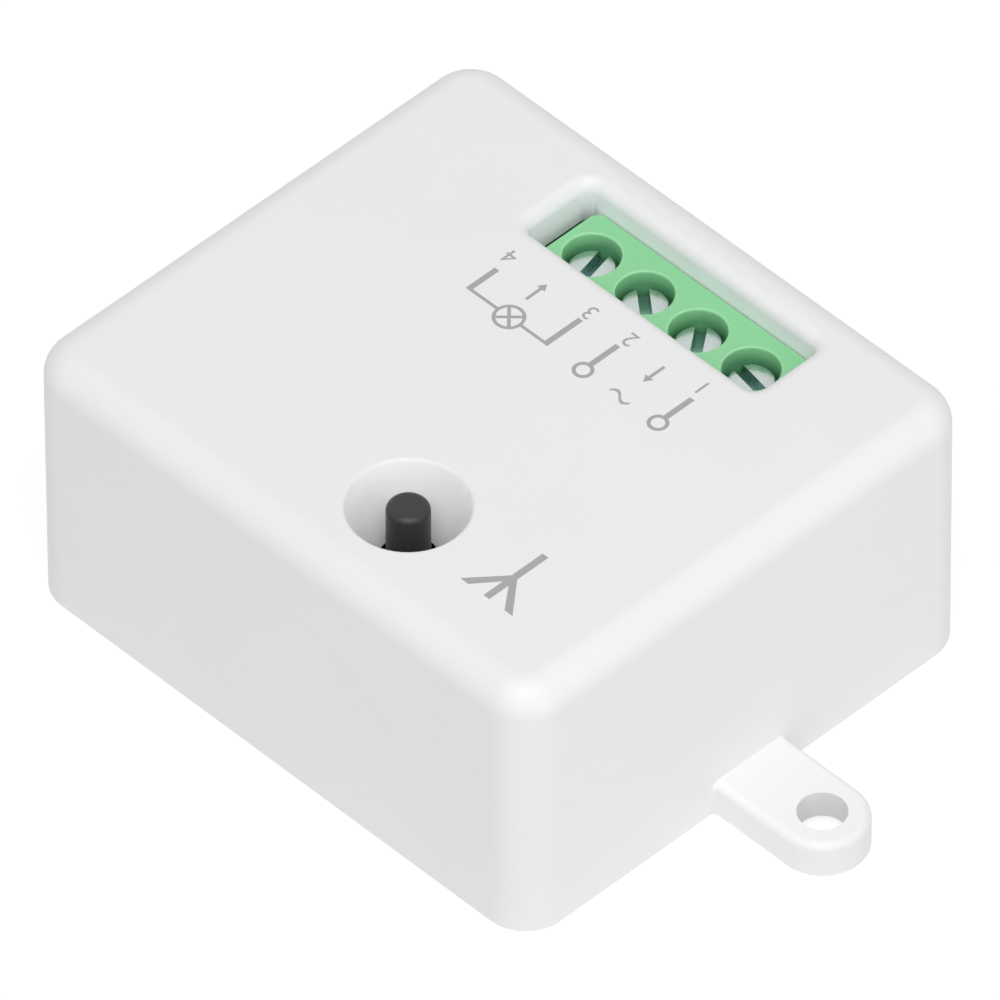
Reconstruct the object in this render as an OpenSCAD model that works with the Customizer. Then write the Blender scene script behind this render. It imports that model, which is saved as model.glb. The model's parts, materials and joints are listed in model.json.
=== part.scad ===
// Relay module for one mains load: a white moulded box with two fixing ears, a push button in a
// conical recess and a four-pole screw terminal under a window. Inside are a relay, a small
// power supply and a radio receiver on one circuit board.
// Sizes are in millimetres. The origin is the middle of the mounting plane, +X runs towards an
// ear, +Y towards the wire entries and +Z up.

/* [Housing] */
// Length of the box between the two ears
body_l = 48; // [46.5:0.5:56]
// Width of the box from the button side to the wire side
body_w = 42; // [38:0.5:50]
// Height of the box
body_h = 22.3; // [20.2:0.1:26]
// Radius of the upright corners
corner_r = 3.3; // [2.8:0.1:4.5]
// Radius of the rounded top edge
top_edge_r = 2.4; // [1.5:0.1:2.6]
// Thickness of the side walls
wall_t = 2; // [1.6:0.1:2.4]
// Thickness of the top wall
top_t = 2.2; // [1.6:0.1:2.6]
// Radius of the corner columns that hold the board down
column_r = 1.6; // [1.3:0.1:2]
// Distance from the inner faces of the walls to the axis of a column
column_inset = 1; // [0.6:0.1:1.4]

/* [Fixing ears] */
// Distance from the wall to the centre of the ear's hole
ear_reach = 6.95; // [5:0.05:10]
// Half width and end radius of an ear
ear_r = 3.3; // [2.8:0.1:5]
// Thickness of an ear
ear_t = 2.85; // [2:0.05:4]
// Diameter of the ear's hole
ear_hole_d = 3.5; // [2.5:0.1:4.2]
// Radius of the ear's rounded top edge
ear_edge_r = 0.6; // [0.2:0.1:0.9]
// Radius in the corner between the ear and the wall
ear_root_r = 0.4; // [0.3:0.1:2]
// Width and height of the bevel at the lower end of the ear's hole
ear_hole_bevel = 0.6; // [0.1:0.1:1]

/* [Terminal window] */
// Offset of the window's middle from the middle of the box
window_x = 2.2; // [1.5:0.1:3]
// Distance from the wire-side face to the window
window_back = 3.7; // [3.4:0.1:4.2]
// Width of the window across the row of screws
window_w = 6.2; // [5.8:0.1:7]
// Mean gap between an end of the row of poles and the window's end wall
window_end_gap = 0.8; // [0.4:0.1:1]
// Gap between the block's first end and the window's end wall
window_open_gap = 0.9; // [0.7:0.05:1]
// Gap between the block's raised row and the window's long walls
window_side_gap = 0.1; // [0.05:0.05:0.3]
// Radius of the window's corners
window_corner_r = 0.9; // [0.5:0.1:1.6]
// Radius of the window's rounded rim
window_rim_r = 1; // [0.2:0.1:1.4]
// Height of the collar that hangs from the top wall round the window
collar_h = 0.8; // [0.4:0.1:1.2]
// Thickness of that collar
collar_t = 1; // [0.6:0.1:1.2]
// Depth that the collar reaches further down where the window's gap is open
collar_deep_h = 0.45; // [0.3:0.05:0.8]

/* [Terminal block] */
// Distance between two poles
pole_pitch = 5.08; // [5:0.01:5.2]
// Length that the row of poles has beyond its pitches
block_end = 0.12; // [0:0.02:0.4]
// Distance from the row of screws to the back face of the block
block_back = 4.9; // [4.7:0.1:5.6]
// Distance that the block lies off the window's middle, along the row and across it
block_shift = 0.15; // [0:0.05:0.2]
// Drop from the top wall's inner face to the top of the block's raised row
block_drop = 0.19; // [0.05:0.01:0.4]
// Gap between the collar round the window and the block's step below it
step_gap = 0.3; // [0.1:0.05:0.5]
// Gap between the block and the wall in front of it
block_front_gap = 0.2; // [0.05:0.05:0.5]
// Diameter of the screw holes
screw_hole_d = 4; // [3.8:0.1:4.3]
// Width of the bevel round a screw hole
screw_hole_bevel = 0.15; // [0.05:0.05:0.3]
// Thickness of the shelf that carries a screw's head
shelf_t = 0.9; // [0.6:0.1:1.2]
// Width of a wire entry
entry_w = 4.2; // [3.4:0.1:4.3]
// Height of the sill under a wire entry
entry_sill = 0.9; // [0.6:0.1:1.4]
// Radius of the wire slot's corners
slot_corner_r = 0.8; // [0.3:0.1:2]
// Room that the slot in the wall leaves round the wire entries
slot_margin = 0.3; // [0.1:0.1:0.6]

/* [Clamping screws] */
// Diameter of a screw's head
head_d = 3.5; // [3.2:0.1:3.7]
// Height of a screw's head
head_h = 1.85; // [1.4:0.05:2]
// Depth of the head's top face below the top of the block
head_drop = 1.2; // [0.9:0.05:1.6]
// Width of the bevel round the head
head_bevel = 0.2; // [0.1:0.05:0.4]
// Width of the driver slot
slot_w = 0.85; // [0.6:0.05:1.1]
// Depth of the driver slot
slot_d = 0.9; // [0.5:0.1:1]
// Diameter of the screw's shank
shank_d = 2.5; // [2:0.1:2.6]
// Pitch of the thread
thread_pitch = 0.45; // [0.35:0.05:0.5]
// Turns from open to clamped
clamp_turns = 4.5; // [3:0.25:5]

/* [Wire clamps] */
// Room between a screw's shank and the side walls of its cage
cage_room = 0.15; // [0.1:0.05:0.2]
// Depth of a clamp cage towards the wire
cage_d = 5; // [4:0.1:5.4]
// Thickness of the cage's side walls
cage_side_t = 0.6; // [0.4:0.1:0.8]
// Thickness of the cage's floor
cage_floor_t = 0.8; // [0.5:0.1:1]
// Thickness of the tapped wall at the cage's top
cage_nut_t = 1.4; // [1:0.1:1.6]
// Height of an open cage above the board
cage_lift = 0.4; // [0.3:0.1:0.8]
// Width of the contact bar inside a cage
bar_w = 2.2; // [1.6:0.1:2.4]
// Thickness of the contact bar
bar_t = 0.8; // [0.5:0.1:1]
// Width of the contact's solder leg
leg_w = 1; // [0.6:0.1:1.4]

/* [Push button] */
// Offset of the button's axis from the middle of the box
button_x = 4.8; // [4:0.1:6]
// Distance from the front face to the button's axis
button_front = 8; // [7.4:0.1:8.6]
// Radius of the recess at the top face
recess_r = 4.35; // [3.8:0.05:4.8]
// Depth of the recess
recess_depth = 5; // [3:0.1:6]
// Radius of the hole at the bottom of the recess
recess_hole_r = 2.1; // [1.9:0.05:2.4]
// Radius of the recess's rounded rim
recess_rim_r = 0.3; // [0.1:0.1:0.6]
// Thickness of the recess's conical wall
recess_wall = 1.2; // [0.8:0.1:1.4]
// Diameter of the button's stem
stem_d = 3.05; // [2.6:0.05:3.3]
// Radius of the stem's rounded tip
stem_tip_r = 0.5; // [0.1:0.05:0.8]
// Depth of the stem's tip below the top face
stem_drop = 0; // [0:0.1:1]
// Thickness of the flange at the stem's foot
stem_flange_t = 0.65; // [0.4:0.05:0.8]
// Width of the flange beyond the stem
stem_flange_w = 0.5; // [0.3:0.05:0.6]
// Travel of the button
button_travel = 0.25; // [0.15:0.05:0.3]

/* [Push switch] */
// Side of the square switch body
switch_w = 6; // [5.8:0.1:6.4]
// Height of the switch to the top of its cover
switch_h = 3; // [2.8:0.1:3.6]
// Thickness of the metal cover
switch_cover_t = 0.4; // [0.3:0.05:0.6]
// Diameter of the well that holds the contact dome
switch_well_d = 4.8; // [4.6:0.1:5]
// Diameter of the contact dome
dome_d = 4.4; // [4:0.1:4.5]
// Height of the contact dome
dome_h = 0.5; // [0.3:0.05:0.6]
// Thickness of the contact dome
dome_t = 0.12; // [0.08:0.02:0.2]
// Distance between the switch's legs along the row
switch_leg_x = 7; // [6.9:0.1:7.4]
// Distance between the switch's legs across the row
switch_leg_y = 4.5; // [4:0.1:5]

/* [Base plate] */
// Thickness of the base plate
base_t = 1.6; // [1.2:0.1:2]
// Gap between the base plate and the walls
base_fit = 0.15; // [0.05:0.05:0.3]
// Radius of the posts that carry the board
post_r = 1.8; // [1.2:0.1:2.4]
// Distance of the snap hooks from the middle of the box
hook_x = 12; // [9:0.5:14]
// Width of a snap hook
hook_w = 5; // [3:0.5:7]
// Thickness of a snap hook
hook_t = 1.2; // [0.8:0.1:1.6]
// Distance that a hook's catch stands out
hook_catch = 0.5; // [0.3:0.05:0.7]
// Height of a hook's catch
catch_h = 1.2; // [0.8:0.1:1.4]
// Gap round a catch in its pocket
pocket_gap = 0.15; // [0.05:0.05:0.25]

/* [Circuit board] */
// Height of the board's underside above the mounting plane
board_z = 4.6; // [4.4:0.1:4.8]
// Thickness of the board
board_t = 1.6; // [1.2:0.1:1.8]
// Gap between the board and the walls
board_gap = 0.2; // [0.1:0.05:0.4]
// Gap round a lead in its hole
lead_gap = 0.12; // [0.05:0.01:0.2]
// Length of a lead below the board
lead_tail = 1.4; // [0.8:0.1:1.8]
// Radius of the thin leads
lead_r = 0.3; // [0.2:0.05:0.4]
// Least gap between two parts on the board
part_gap = 0.7; // [0.5:0.1:0.9]

/* [Relay] */
// Length of the relay
relay_l = 18.4; // [17.5:0.1:19.4]
// Width of the relay
relay_w = 10.2; // [9.4:0.1:10.6]
// Gap between the relay and the top wall
relay_headroom = 1.5; // [1.1:0.1:2.3]
// Thickness of the relay cover's walls
relay_wall = 0.7; // [0.5:0.1:0.9]
// Thickness of the relay's base
relay_base_t = 1.4; // [1:0.1:1.8]
// Thickness of the yoke
yoke_t = 1.2; // [0.8:0.1:1.5]
// Width of the yoke and of the armature
yoke_w = 5; // [4:0.1:6]
// Thickness of the armature
armature_t = 0.9; // [0.6:0.1:1.1]
// Swing of the armature in degrees
armature_swing = 3; // [2:0.5:3.5]
// Radius of the iron core
core_r = 1.6; // [1.2:0.1:1.8]
// Radius of the coil
coil_r = 3.3; // [2.9:0.1:3.5]
// Radius of the coil former's flanges
bobbin_r = 3.7; // [3.5:0.1:3.9]
// Thickness of the coil former's walls
bobbin_t = 0.6; // [0.4:0.1:0.7]
// Thickness of the contact spring
blade_t = 0.25; // [0.15:0.05:0.35]
// Width of the contact spring
blade_w = 3.2; // [2.6:0.1:4]
// Radius of the relay's contacts
contact_r = 1.1; // [0.8:0.1:1.3]
// Height of the relay's contacts
contact_h = 0.7; // [0.5:0.1:0.8]
// Radius of the relay's pins
relay_pin_r = 0.5; // [0.4:0.05:0.6]

/* [Transformer] */
// Width of the ferrite core
ferrite_w = 10.2; // [9.6:0.1:10.8]
// Length of the ferrite core
ferrite_l = 11; // [10.4:0.1:11.4]
// Thickness of the ferrite core
ferrite_t = 4.75; // [4.2:0.05:5]
// Width of the ferrite's outer legs and end bars
ferrite_leg = 1.3; // [1.1:0.1:1.5]
// Width of the ferrite's middle leg
ferrite_mid = 2.6; // [2.2:0.1:2.8]
// Height of the winding former
former_h = 9.2; // [8.8:0.1:9.8]
// Thickness of the former's walls
former_t = 0.6; // [0.4:0.1:0.7]
// Height of the former's pin rails
rail_h = 1.6; // [1.2:0.1:1.8]
// Distance between the transformer's pins
transformer_pitch = 2.5; // [2:0.1:2.6]

/* [Capacitors] */
// Diameter of the mains capacitor
mains_cap_d = 8; // [7.4:0.1:8.4]
// Gap between the mains capacitor and the top wall
mains_cap_headroom = 1.9; // [1.4:0.1:3.9]
// Distance between the mains capacitor's leads
mains_cap_pitch = 3.5; // [2.5:0.1:4]
// Diameter of the output capacitor
output_cap_d = 6.3; // [5.8:0.1:6.8]
// Height of the output capacitor
output_cap_h = 11; // [9:0.5:12.5]
// Distance between the output capacitor's leads
output_cap_pitch = 2.5; // [2:0.1:3]
// Radius of the capacitors' rounded edges
cap_edge_r = 0.5; // [0.2:0.1:0.8]

/* [Protection parts] */
// Diameter of the varistor
varistor_d = 7.5; // [6.5:0.1:8]
// Thickness of the varistor
varistor_t = 3.4; // [2.8:0.1:3.6]
// Distance between the varistor's leads
varistor_pitch = 5; // [4:0.1:5.4]
// Height of the varistor above the board
varistor_lift = 0.6; // [0.3:0.1:1.2]
// Diameter of the fuse resistor
fuse_d = 2.6; // [2.2:0.1:2.8]
// Length of the fuse resistor
fuse_l = 7; // [6:0.1:7.4]
// Height of the fuse resistor above the board
fuse_lift = 0.5; // [0.3:0.1:1]

/* [Chips] */
// Length of an eight-leg chip
chip_l = 4.9; // [4.5:0.1:5.2]
// Width of an eight-leg chip
chip_w = 3.9; // [3.6:0.1:4.1]
// Height of an eight-leg chip
chip_h = 1.4; // [1.2:0.1:1.7]
// Distance between a chip's legs
chip_pitch = 1.27; // [1.1:0.01:1.3]
// Width of a chip's legs
chip_leg_w = 0.42; // [0.3:0.02:0.5]
// Distance that a chip's legs stand out
chip_leg_l = 1; // [0.8:0.05:1.2]
// Thickness of a chip's legs
chip_leg_t = 0.2; // [0.15:0.05:0.25]
// Height of a chip above the board
chip_lift = 0.12; // [0.08:0.02:0.2]
// Length of the bridge rectifier
rectifier_l = 4.7; // [4.3:0.1:5]
// Width of the bridge rectifier
rectifier_w = 2.6; // [2.2:0.1:2.8]
// Height of the bridge rectifier
rectifier_h = 2.5; // [2:0.1:2.8]
// Length of the flyback diode
diode_l = 4.3; // [4:0.1:4.6]
// Width of the flyback diode
diode_w = 2.6; // [2.2:0.1:2.8]
// Height of the flyback diode
diode_h = 2.1; // [1.8:0.1:2.4]
// Length of the driver transistor
transistor_l = 2.9; // [2.6:0.1:3.2]
// Width of the driver transistor
transistor_w = 1.4; // [1.2:0.1:1.6]
// Height of the driver transistor
transistor_h = 1; // [0.8:0.1:1.2]
// Length of a chip resistor
resistor_l = 2; // [1.6:0.1:2.2]
// Width of a chip resistor
resistor_w = 1.2; // [0.8:0.1:1.4]
// Height of a chip resistor
resistor_h = 0.5; // [0.4:0.05:0.6]

/* [Radio] */
// Length of the crystal's flange
crystal_l = 11; // [10:0.1:11.4]
// Width of the crystal's flange
crystal_w = 4.6; // [4.2:0.1:4.8]
// Height of the crystal
crystal_h = 3.5; // [3:0.1:4]
// Thickness and width of the crystal's flange
crystal_rim = 0.5; // [0.3:0.05:0.6]
// Distance between the crystal's leads
crystal_pitch = 4.9; // [4:0.1:5.2]
// Diameter of the antenna wire
antenna_wire_d = 0.6; // [0.5:0.05:0.7]
// Radius of the antenna coil at the middle of its wire
antenna_r = 1.9; // [1.7:0.05:2]
// Distance between two turns of the antenna
antenna_pitch = 1.2; // [1.15:0.01:1.25]
// Turns of the antenna
antenna_turns = 12; // [8:1:13]
// Height of the antenna above the board
antenna_lift = 0.4; // [0.3:0.1:0.8]

/* [Hidden] */
$fn = 64;
poles = 4;
// Slot directions of the four screws, seen from above
slot_turn = [103, 141, 127, 170];
// Running gap round a turning or sliding piece, and between pieces that rest on each other
run_gap = 0.05;
// Gap round a piece that stays loose in its place
free_gap = 0.1;
// Least gap that moving pieces keep from fixed ones
swing_gap = 0.3;
// Distance that a cut runs past the faces that it opens
past = 1;

// Cavity and board
inner_l = body_l - 2 * wall_t;
inner_w = body_w - 2 * wall_t;
inner_r = max(corner_r - wall_t, 0.4);
ceiling_z = body_h - top_t;
board_top = board_z + board_t;
board_l = inner_l - 2 * board_gap;
board_w = inner_w - 2 * board_gap;
column_x = inner_l / 2 - column_inset;
column_y = inner_w / 2 - column_inset;
lead_z = board_z - lead_tail;
hook_top = board_z - swing_gap;
catch_z = hook_top - catch_h;

// Terminal block
block_l = poles * pole_pitch + block_end;
window_l = block_l + 2 * window_end_gap;
window_y = body_w / 2 - window_back - window_w / 2;
block_x = window_x + block_shift;
block_x0 = window_x - window_l / 2 + window_open_gap;
block_x1 = block_x + block_l / 2;
row_y = window_y - block_shift;
block_y0 = row_y - block_back;
block_y1 = inner_w / 2 - block_front_gap;
block_top = ceiling_z - block_drop;
step_z = ceiling_z - collar_h - step_gap;
shelf_z = block_top - head_drop - head_h - run_gap;
cage_in_w = shank_d + 2 * cage_room;
cage_w = cage_in_w + 2 * cage_side_t;
cell_w = cage_w + 2 * free_gap;
cell_top = shelf_z - shelf_t;
cell_y0 = block_y0 + (block_back - cage_d / 2) / 3;
cell_y1 = row_y + cage_d / 2 + swing_gap;
clamp_travel = clamp_turns * thread_pitch;
cage_z = board_top + cage_lift;
cage_top = cell_top - clamp_travel - swing_gap;
nut_z = cage_top - cage_nut_t;
bar_top = nut_z - swing_gap - run_gap;
shank_end = nut_z - run_gap;
bar_z = bar_top - bar_t;
entry_z = board_top + entry_sill;
entry_top = bar_z + bar_t / 2;
leg_y = cell_y0 + bar_t / 2;
function pole_x(i) = block_x + (i - (poles - 1) / 2) * pole_pitch;

// Push button and switch
button_y = button_front - body_w / 2;
switch_top = board_top + switch_h;
switch_base_top = switch_top - switch_cover_t;
stem_top = body_h - stem_drop;
flange_r = stem_d / 2 + stem_flange_w;
flange_top = switch_base_top - run_gap;
flange_z = flange_top - stem_flange_t;
dome_z = flange_z - swing_gap - button_travel / 2 - dome_h;
recess_z = body_h - recess_depth;
recess_tilt = atan((recess_r - recess_hole_r) / recess_depth);

// Relay
relay_h = ceiling_z - board_top - relay_headroom;
relay_x = board_l / 2 - part_gap - relay_l / 2;
boss_r = recess_hole_r + recess_wall + max(board_top + relay_h - recess_z, 0) * tan(recess_tilt);
relay_y0 = button_y + max(switch_w / 2, boss_r) + part_gap;
relay_y = relay_y0 + relay_w / 2;
relay_y1 = relay_y0 + relay_w;
relay_x0 = relay_x - relay_l / 2;
relay_in_l = relay_l - 2 * relay_wall;
relay_in_w = relay_w - 2 * relay_wall;
relay_floor = board_top + relay_base_t;
relay_roof = board_top + relay_h - relay_wall;
yoke_x = relay_x - relay_in_l / 2 + swing_gap;
hinge_x = yoke_x + yoke_t;
hinge_z = relay_roof - 2 * swing_gap - blade_t - armature_t;
core_x = hinge_x + run_gap + bobbin_r;
pole_gap = (core_x + core_r - hinge_x) * sin(armature_swing) + free_gap;
pole_z = hinge_z - pole_gap;
armature_x1 = core_x + core_r + swing_gap;
contact_x = relay_x + relay_in_l / 2 - 2 * swing_gap - contact_r;
contact_drop = (contact_x + contact_r - hinge_x) * sin(armature_swing) + free_gap;
moving_z = hinge_z + armature_t - contact_h;
fixed_z = moving_z - contact_drop;
relay_pins_at = [
    [core_x, relay_y - bobbin_r],
    [core_x, relay_y + bobbin_r],
    [yoke_x + yoke_t / 2, relay_y],
    [contact_x, relay_y]
];

// Transformer
transformer_x = part_gap + ferrite_w / 2 - board_l / 2;
transformer_y1 = column_y - column_r - part_gap;
transformer_y = transformer_y1 - ferrite_l / 2;
transformer_z = board_top + swing_gap + former_h / 2;
former_w = ferrite_w - 2 * ferrite_leg - 2 * free_gap;
former_l = ferrite_l - 2 * ferrite_leg - 2 * free_gap;
tube_w = ferrite_mid + 2 * free_gap + 2 * former_t;
tube_h = ferrite_t + 2 * free_gap + 2 * former_t;
winding_w = former_w - 2 * free_gap;
winding_h = former_h - 2 * free_gap;
rail_w = 3 * transformer_pitch + 4 * lead_r;
rail_t = 4 * lead_r;
rail_y = former_l / 2 - former_t + rail_t / 2;
transformer_pins_at = [
    for (side = [-1, 1])
    for (k = [-1.5:1:1.5])
    [transformer_x + k * transformer_pitch, transformer_y + side * rail_y]
];

// Capacitors
mains_cap_h = ceiling_z - board_top - mains_cap_headroom;
mains_cap_x = part_gap + mains_cap_d / 2 - board_l / 2;
mains_cap_y = transformer_y1 - ferrite_l - part_gap - mains_cap_d / 2;
output_cap_x = mains_cap_x + mains_cap_d / 2 + part_gap + output_cap_d / 2;
output_cap_y = mains_cap_y;
capacitor_leads_at = [
    for (side = [-1, 1])
    each [
        [mains_cap_x, mains_cap_y + side * mains_cap_pitch / 2],
        [output_cap_x, output_cap_y + side * output_cap_pitch / 2]
    ]
];

// Protection parts beside the terminal block
fuse_x = block_x1 + part_gap + fuse_d / 2;
fuse_bend_r = 2 * lead_r;
fuse_z = board_top + fuse_lift + fuse_d / 2;
fuse_pitch = fuse_l + 4 * fuse_bend_r;
fuse_y = (relay_y1 + block_y1) / 2;
varistor_x = board_l / 2 - varistor_t / 2 - part_gap / 2;
varistor_y = relay_y1 + part_gap + varistor_d / 2;
varistor_z = board_top + varistor_lift + varistor_d / 2;
varistor_socket = varistor_d / 4;
varistor_leads_at = [
    for (side = [-1, 1]) [varistor_x, varistor_y + side * varistor_pitch / 2]
];
fuse_leads_at = [for (side = [-1, 1]) [fuse_x, fuse_y + side * fuse_pitch / 2]];

// Antenna and crystal
antenna_or = antenna_r + antenna_wire_d / 2;
antenna_x = antenna_wire_d + column_r + part_gap - column_x;
antenna_y = part_gap + antenna_or - board_w / 2;
antenna_z = board_top + antenna_lift + antenna_or;
antenna_lead = [antenna_x, antenna_y + antenna_r];
crystal_x = part_gap + crystal_l / 2 - board_l / 2;
crystal_y = antenna_y + antenna_or + part_gap + crystal_w / 2;
crystal_leads_at = [for (side = [-1, 1]) [crystal_x + side * crystal_pitch / 2, crystal_y]];

// Chips: middle of each body, with its legs along both long sides
chip_span = chip_w + 2 * chip_leg_l;
radio_x = crystal_x + crystal_l / 2 + part_gap + chip_l / 2;
radio_y = antenna_y + antenna_or + part_gap + chip_span / 2;
power_x = output_cap_x + output_cap_d / 2 + part_gap + chip_l / 2;
power_y = radio_y + chip_span + part_gap;
control_x = button_x + switch_leg_x / 2 + lead_r + 2 * part_gap + chip_l / 2;
control_y = relay_y0 - part_gap - chip_span / 2;
rectifier_x = pole_x(0);
rectifier_y = block_y0 - part_gap - chip_leg_l - rectifier_w / 2;
diode_x = relay_x0 + chip_leg_l + diode_l / 2;
diode_y = (relay_y1 + block_y0) / 2;
transistor_x = relay_x0 - part_gap - transistor_l / 2;
transistor_y = power_y + chip_span / 2 + part_gap + chip_leg_l + transistor_w / 2;
resistor_x = control_x - chip_l / 2 + resistor_l / 2;
resistor_y = control_y - chip_span / 2 - part_gap / 2 - resistor_w / 2;

// Every lead that goes through the board: place and radius
leg_hole_r = norm([leg_w, bar_t]) / 2;
switch_legs_at = [
    for (sx = [-1, 1])
    for (sy = [-1, 1])
    [button_x + sx * switch_leg_x / 2, button_y + sy * switch_leg_y / 2]
];
thin_leads_at = concat(
    switch_legs_at,
    transformer_pins_at,
    capacitor_leads_at,
    varistor_leads_at,
    fuse_leads_at,
    crystal_leads_at,
    [antenna_lead]
);

// Shared shapes

// Box with its footprint centred on the origin and its underside at z = 0
module block(l, w, h) {
    translate([-l / 2, -w / 2, 0]) cube([l, w, h]);
}

// Flat rectangle with round corners
module round_rect(l, w, r) {
    square([l - 2 * r, w], center = true);
    square([l, w - 2 * r], center = true);
    for (sx = [-1, 1])
        for (sy = [-1, 1])
            translate([sx * (l / 2 - r), sy * (w / 2 - r)]) circle(r);
}

// Flat rectangle that stands on its lower side, with both top corners round
module crowned_rect(w, h, r) {
    translate([-w / 2, 0]) square([w, h - r]);
    translate([r - w / 2, 0]) square([w - 2 * r, h]);
    for (side = [-1, 1]) translate([side * (w / 2 - r), h - r]) circle(r);
}

// Right half of a crowned rectangle, for turning about an upright axis
module crowned_half(w, h, r) {
    intersection() {
        crowned_rect(w, h, r);
        square([w, h]);
    }
}

// Bar along X with both long top edges round
module crowned_bar(l, w, h, r) {
    rotate([90, 0, 90]) linear_extrude(l, center = true) crowned_rect(w, h, r);
}

// Box with round upright corners and a round top edge
module crowned_box(l, w, h, upright_r, edge_r) {
    crowned_bar(l - 2 * upright_r, w, h, edge_r);
    rotate(90) crowned_bar(w - 2 * upright_r, l, h, edge_r);
    for (sx = [0, 1])
        for (sy = [0, 1])
            mirror([sx, 0, 0])
                mirror([0, sy, 0])
                    translate([l / 2 - upright_r, w / 2 - upright_r, 0])
                        rotate_extrude(angle = 90) crowned_half(2 * upright_r, h, edge_r);
}

// Corner between a wall and a ledge, left of a round edge
module edge_flare(r) {
    difference() {
        square(r);
        translate([r, 0]) circle(r);
    }
}

// Upright pin with its lower end at the leads' height
module lead(r, top) {
    translate([0, 0, lead_z]) cylinder(r = r, h = top - lead_z);
}

// Housing

// Ear on the +X side, rooted in the wall
module ear() {
    root_x = body_l / 2 - wall_t / 2;
    wall_x = body_l / 2;
    hole_x = wall_x + ear_reach;
    difference() {
        union() {
            translate([(root_x + hole_x) / 2, 0, 0])
                crowned_bar(hole_x - root_x, 2 * ear_r, ear_t, ear_edge_r);
            translate([hole_x, 0, 0])
                rotate(-90) rotate_extrude(angle = 180) crowned_half(2 * ear_r, ear_t, ear_edge_r);
            for (side = [0, 1])
                mirror([0, side, 0]) translate([wall_x, ear_r, 0]) ear_root();
        }
        translate([hole_x, 0, -past]) cylinder(d = ear_hole_d, h = ear_t + 2 * past);
        translate([hole_x, 0, 0])
            cylinder(d1 = ear_hole_d + 2 * ear_hole_bevel, d2 = ear_hole_d, h = ear_hole_bevel);
    }
}

// Hollow corner between the ear's side and the wall
module ear_root() {
    difference() {
        linear_extrude(ear_t)
            difference() {
                translate([-wall_t / 2, -ear_edge_r])
                    square([ear_root_r + wall_t / 2, ear_root_r + ear_edge_r]);
                translate([ear_root_r, ear_root_r]) circle(ear_root_r);
            }
        translate([ear_root_r, ear_root_r, 0])
            rotate_extrude()
                translate([ear_root_r, ear_t - ear_edge_r])
                    difference() {
                        square(ear_edge_r);
                        translate([ear_edge_r, 0]) circle(ear_edge_r);
                    }
    }
}

// Window over the terminal screws, with its rounded rim
module window_cut() {
    flat_l = window_l - 2 * window_corner_r;
    flat_w = window_w - 2 * window_corner_r;
    rim_z = body_h - window_rim_r;
    translate([window_x, window_y, 0]) {
        translate([0, 0, ceiling_z - collar_h - past])
            linear_extrude(top_t + collar_h + 2 * past)
                round_rect(window_l, window_w, window_corner_r);
        for (turn = [0, 180])
            rotate(turn) {
                translate([0, window_w / 2, rim_z])
                    rotate([90, 0, 90]) linear_extrude(flat_l, center = true) rim_flare();
                translate([window_l / 2, 0, rim_z])
                    rotate([90, 0, 0]) linear_extrude(flat_w, center = true) rim_flare();
                for (side = [0, 1])
                    mirror([side, 0, 0])
                        translate([flat_l / 2, flat_w / 2, rim_z])
                            rotate_extrude(angle = 90) translate([window_corner_r, 0]) rim_flare();
            }
    }
}

// Collar that hangs from the top wall round the window, with its deeper wall at the open gap
module window_collar() {
    deep_t = 0.8 * collar_t;
    translate([window_x, window_y, ceiling_z - collar_h]) {
        linear_extrude(collar_h + top_t / 4)
            round_rect(window_l + 2 * collar_t, window_w + 2 * collar_t, window_corner_r + collar_t);
        translate([0, 0, -collar_deep_h])
            linear_extrude(collar_deep_h + collar_h)
                intersection() {
                    round_rect(window_l + 2 * deep_t, window_w + 2 * deep_t, window_corner_r + deep_t);
                    translate([-window_l, -window_w])
                        square([window_l / 2 + window_open_gap / 2, 2 * window_w]);
                }
    }
}

// Section of the window's rounded rim
module rim_flare() {
    edge_flare(window_rim_r);
}

// Conical recess round the button, with its rounded rim
module recess_cut() {
    rim_t = recess_rim_r * tan(45 - recess_tilt / 2);
    rim_low = [recess_r - rim_t * sin(recess_tilt), body_h - rim_t * cos(recess_tilt)];
    rim_mid = [recess_r + rim_t, body_h - recess_rim_r];
    translate([button_x, button_y, 0])
        rotate_extrude()
            difference() {
                polygon([
                    [0, recess_z - past], [recess_hole_r, recess_z - past], [recess_hole_r, recess_z],
                    rim_low, rim_mid, [rim_mid.x, body_h + past], [0, body_h + past]
                ]);
                translate(rim_mid) circle(recess_rim_r);
            }
}

// Conical wall that hangs from the top wall round the recess
module recess_boss() {
    boss_z = body_h - top_t / 2;
    slope = tan(recess_tilt);
    low_r = recess_hole_r + recess_wall;
    translate([button_x, button_y, 0])
        rotate_extrude()
            polygon([
                [0, recess_z], [low_r, recess_z],
                [low_r + (boss_z - recess_z) * slope, boss_z], [0, boss_z]
            ]);
}

// Slot in the wire-side wall in front of the four wire entries
module wire_slot() {
    slot_l = (poles - 1) * pole_pitch + entry_w + 2 * slot_margin;
    slot_h = entry_top - entry_z + 2 * slot_margin;
    translate([block_x, inner_w / 2 - past, entry_z - slot_margin + slot_h / 2])
        rotate([-90, 0, 0])
            linear_extrude(wall_t + 2 * past) round_rect(slot_l, slot_h, slot_corner_r);
}

// Pocket in the +Y wall for the catch of a snap hook
module hook_pocket() {
    reach = hook_catch - base_fit + pocket_gap;
    translate([0, inner_w / 2 - past, catch_z - pocket_gap])
        translate([-hook_w / 2 - pocket_gap, 0, 0])
            cube([hook_w + 2 * pocket_gap, past + reach, catch_h + 2 * pocket_gap]);
}

// Repeats a piece at the four snap hooks
module at_hooks() {
    for (side = [0, 1])
        mirror([0, side, 0])
            for (x = [-hook_x, hook_x]) translate([x, 0, 0]) children();
}

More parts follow.
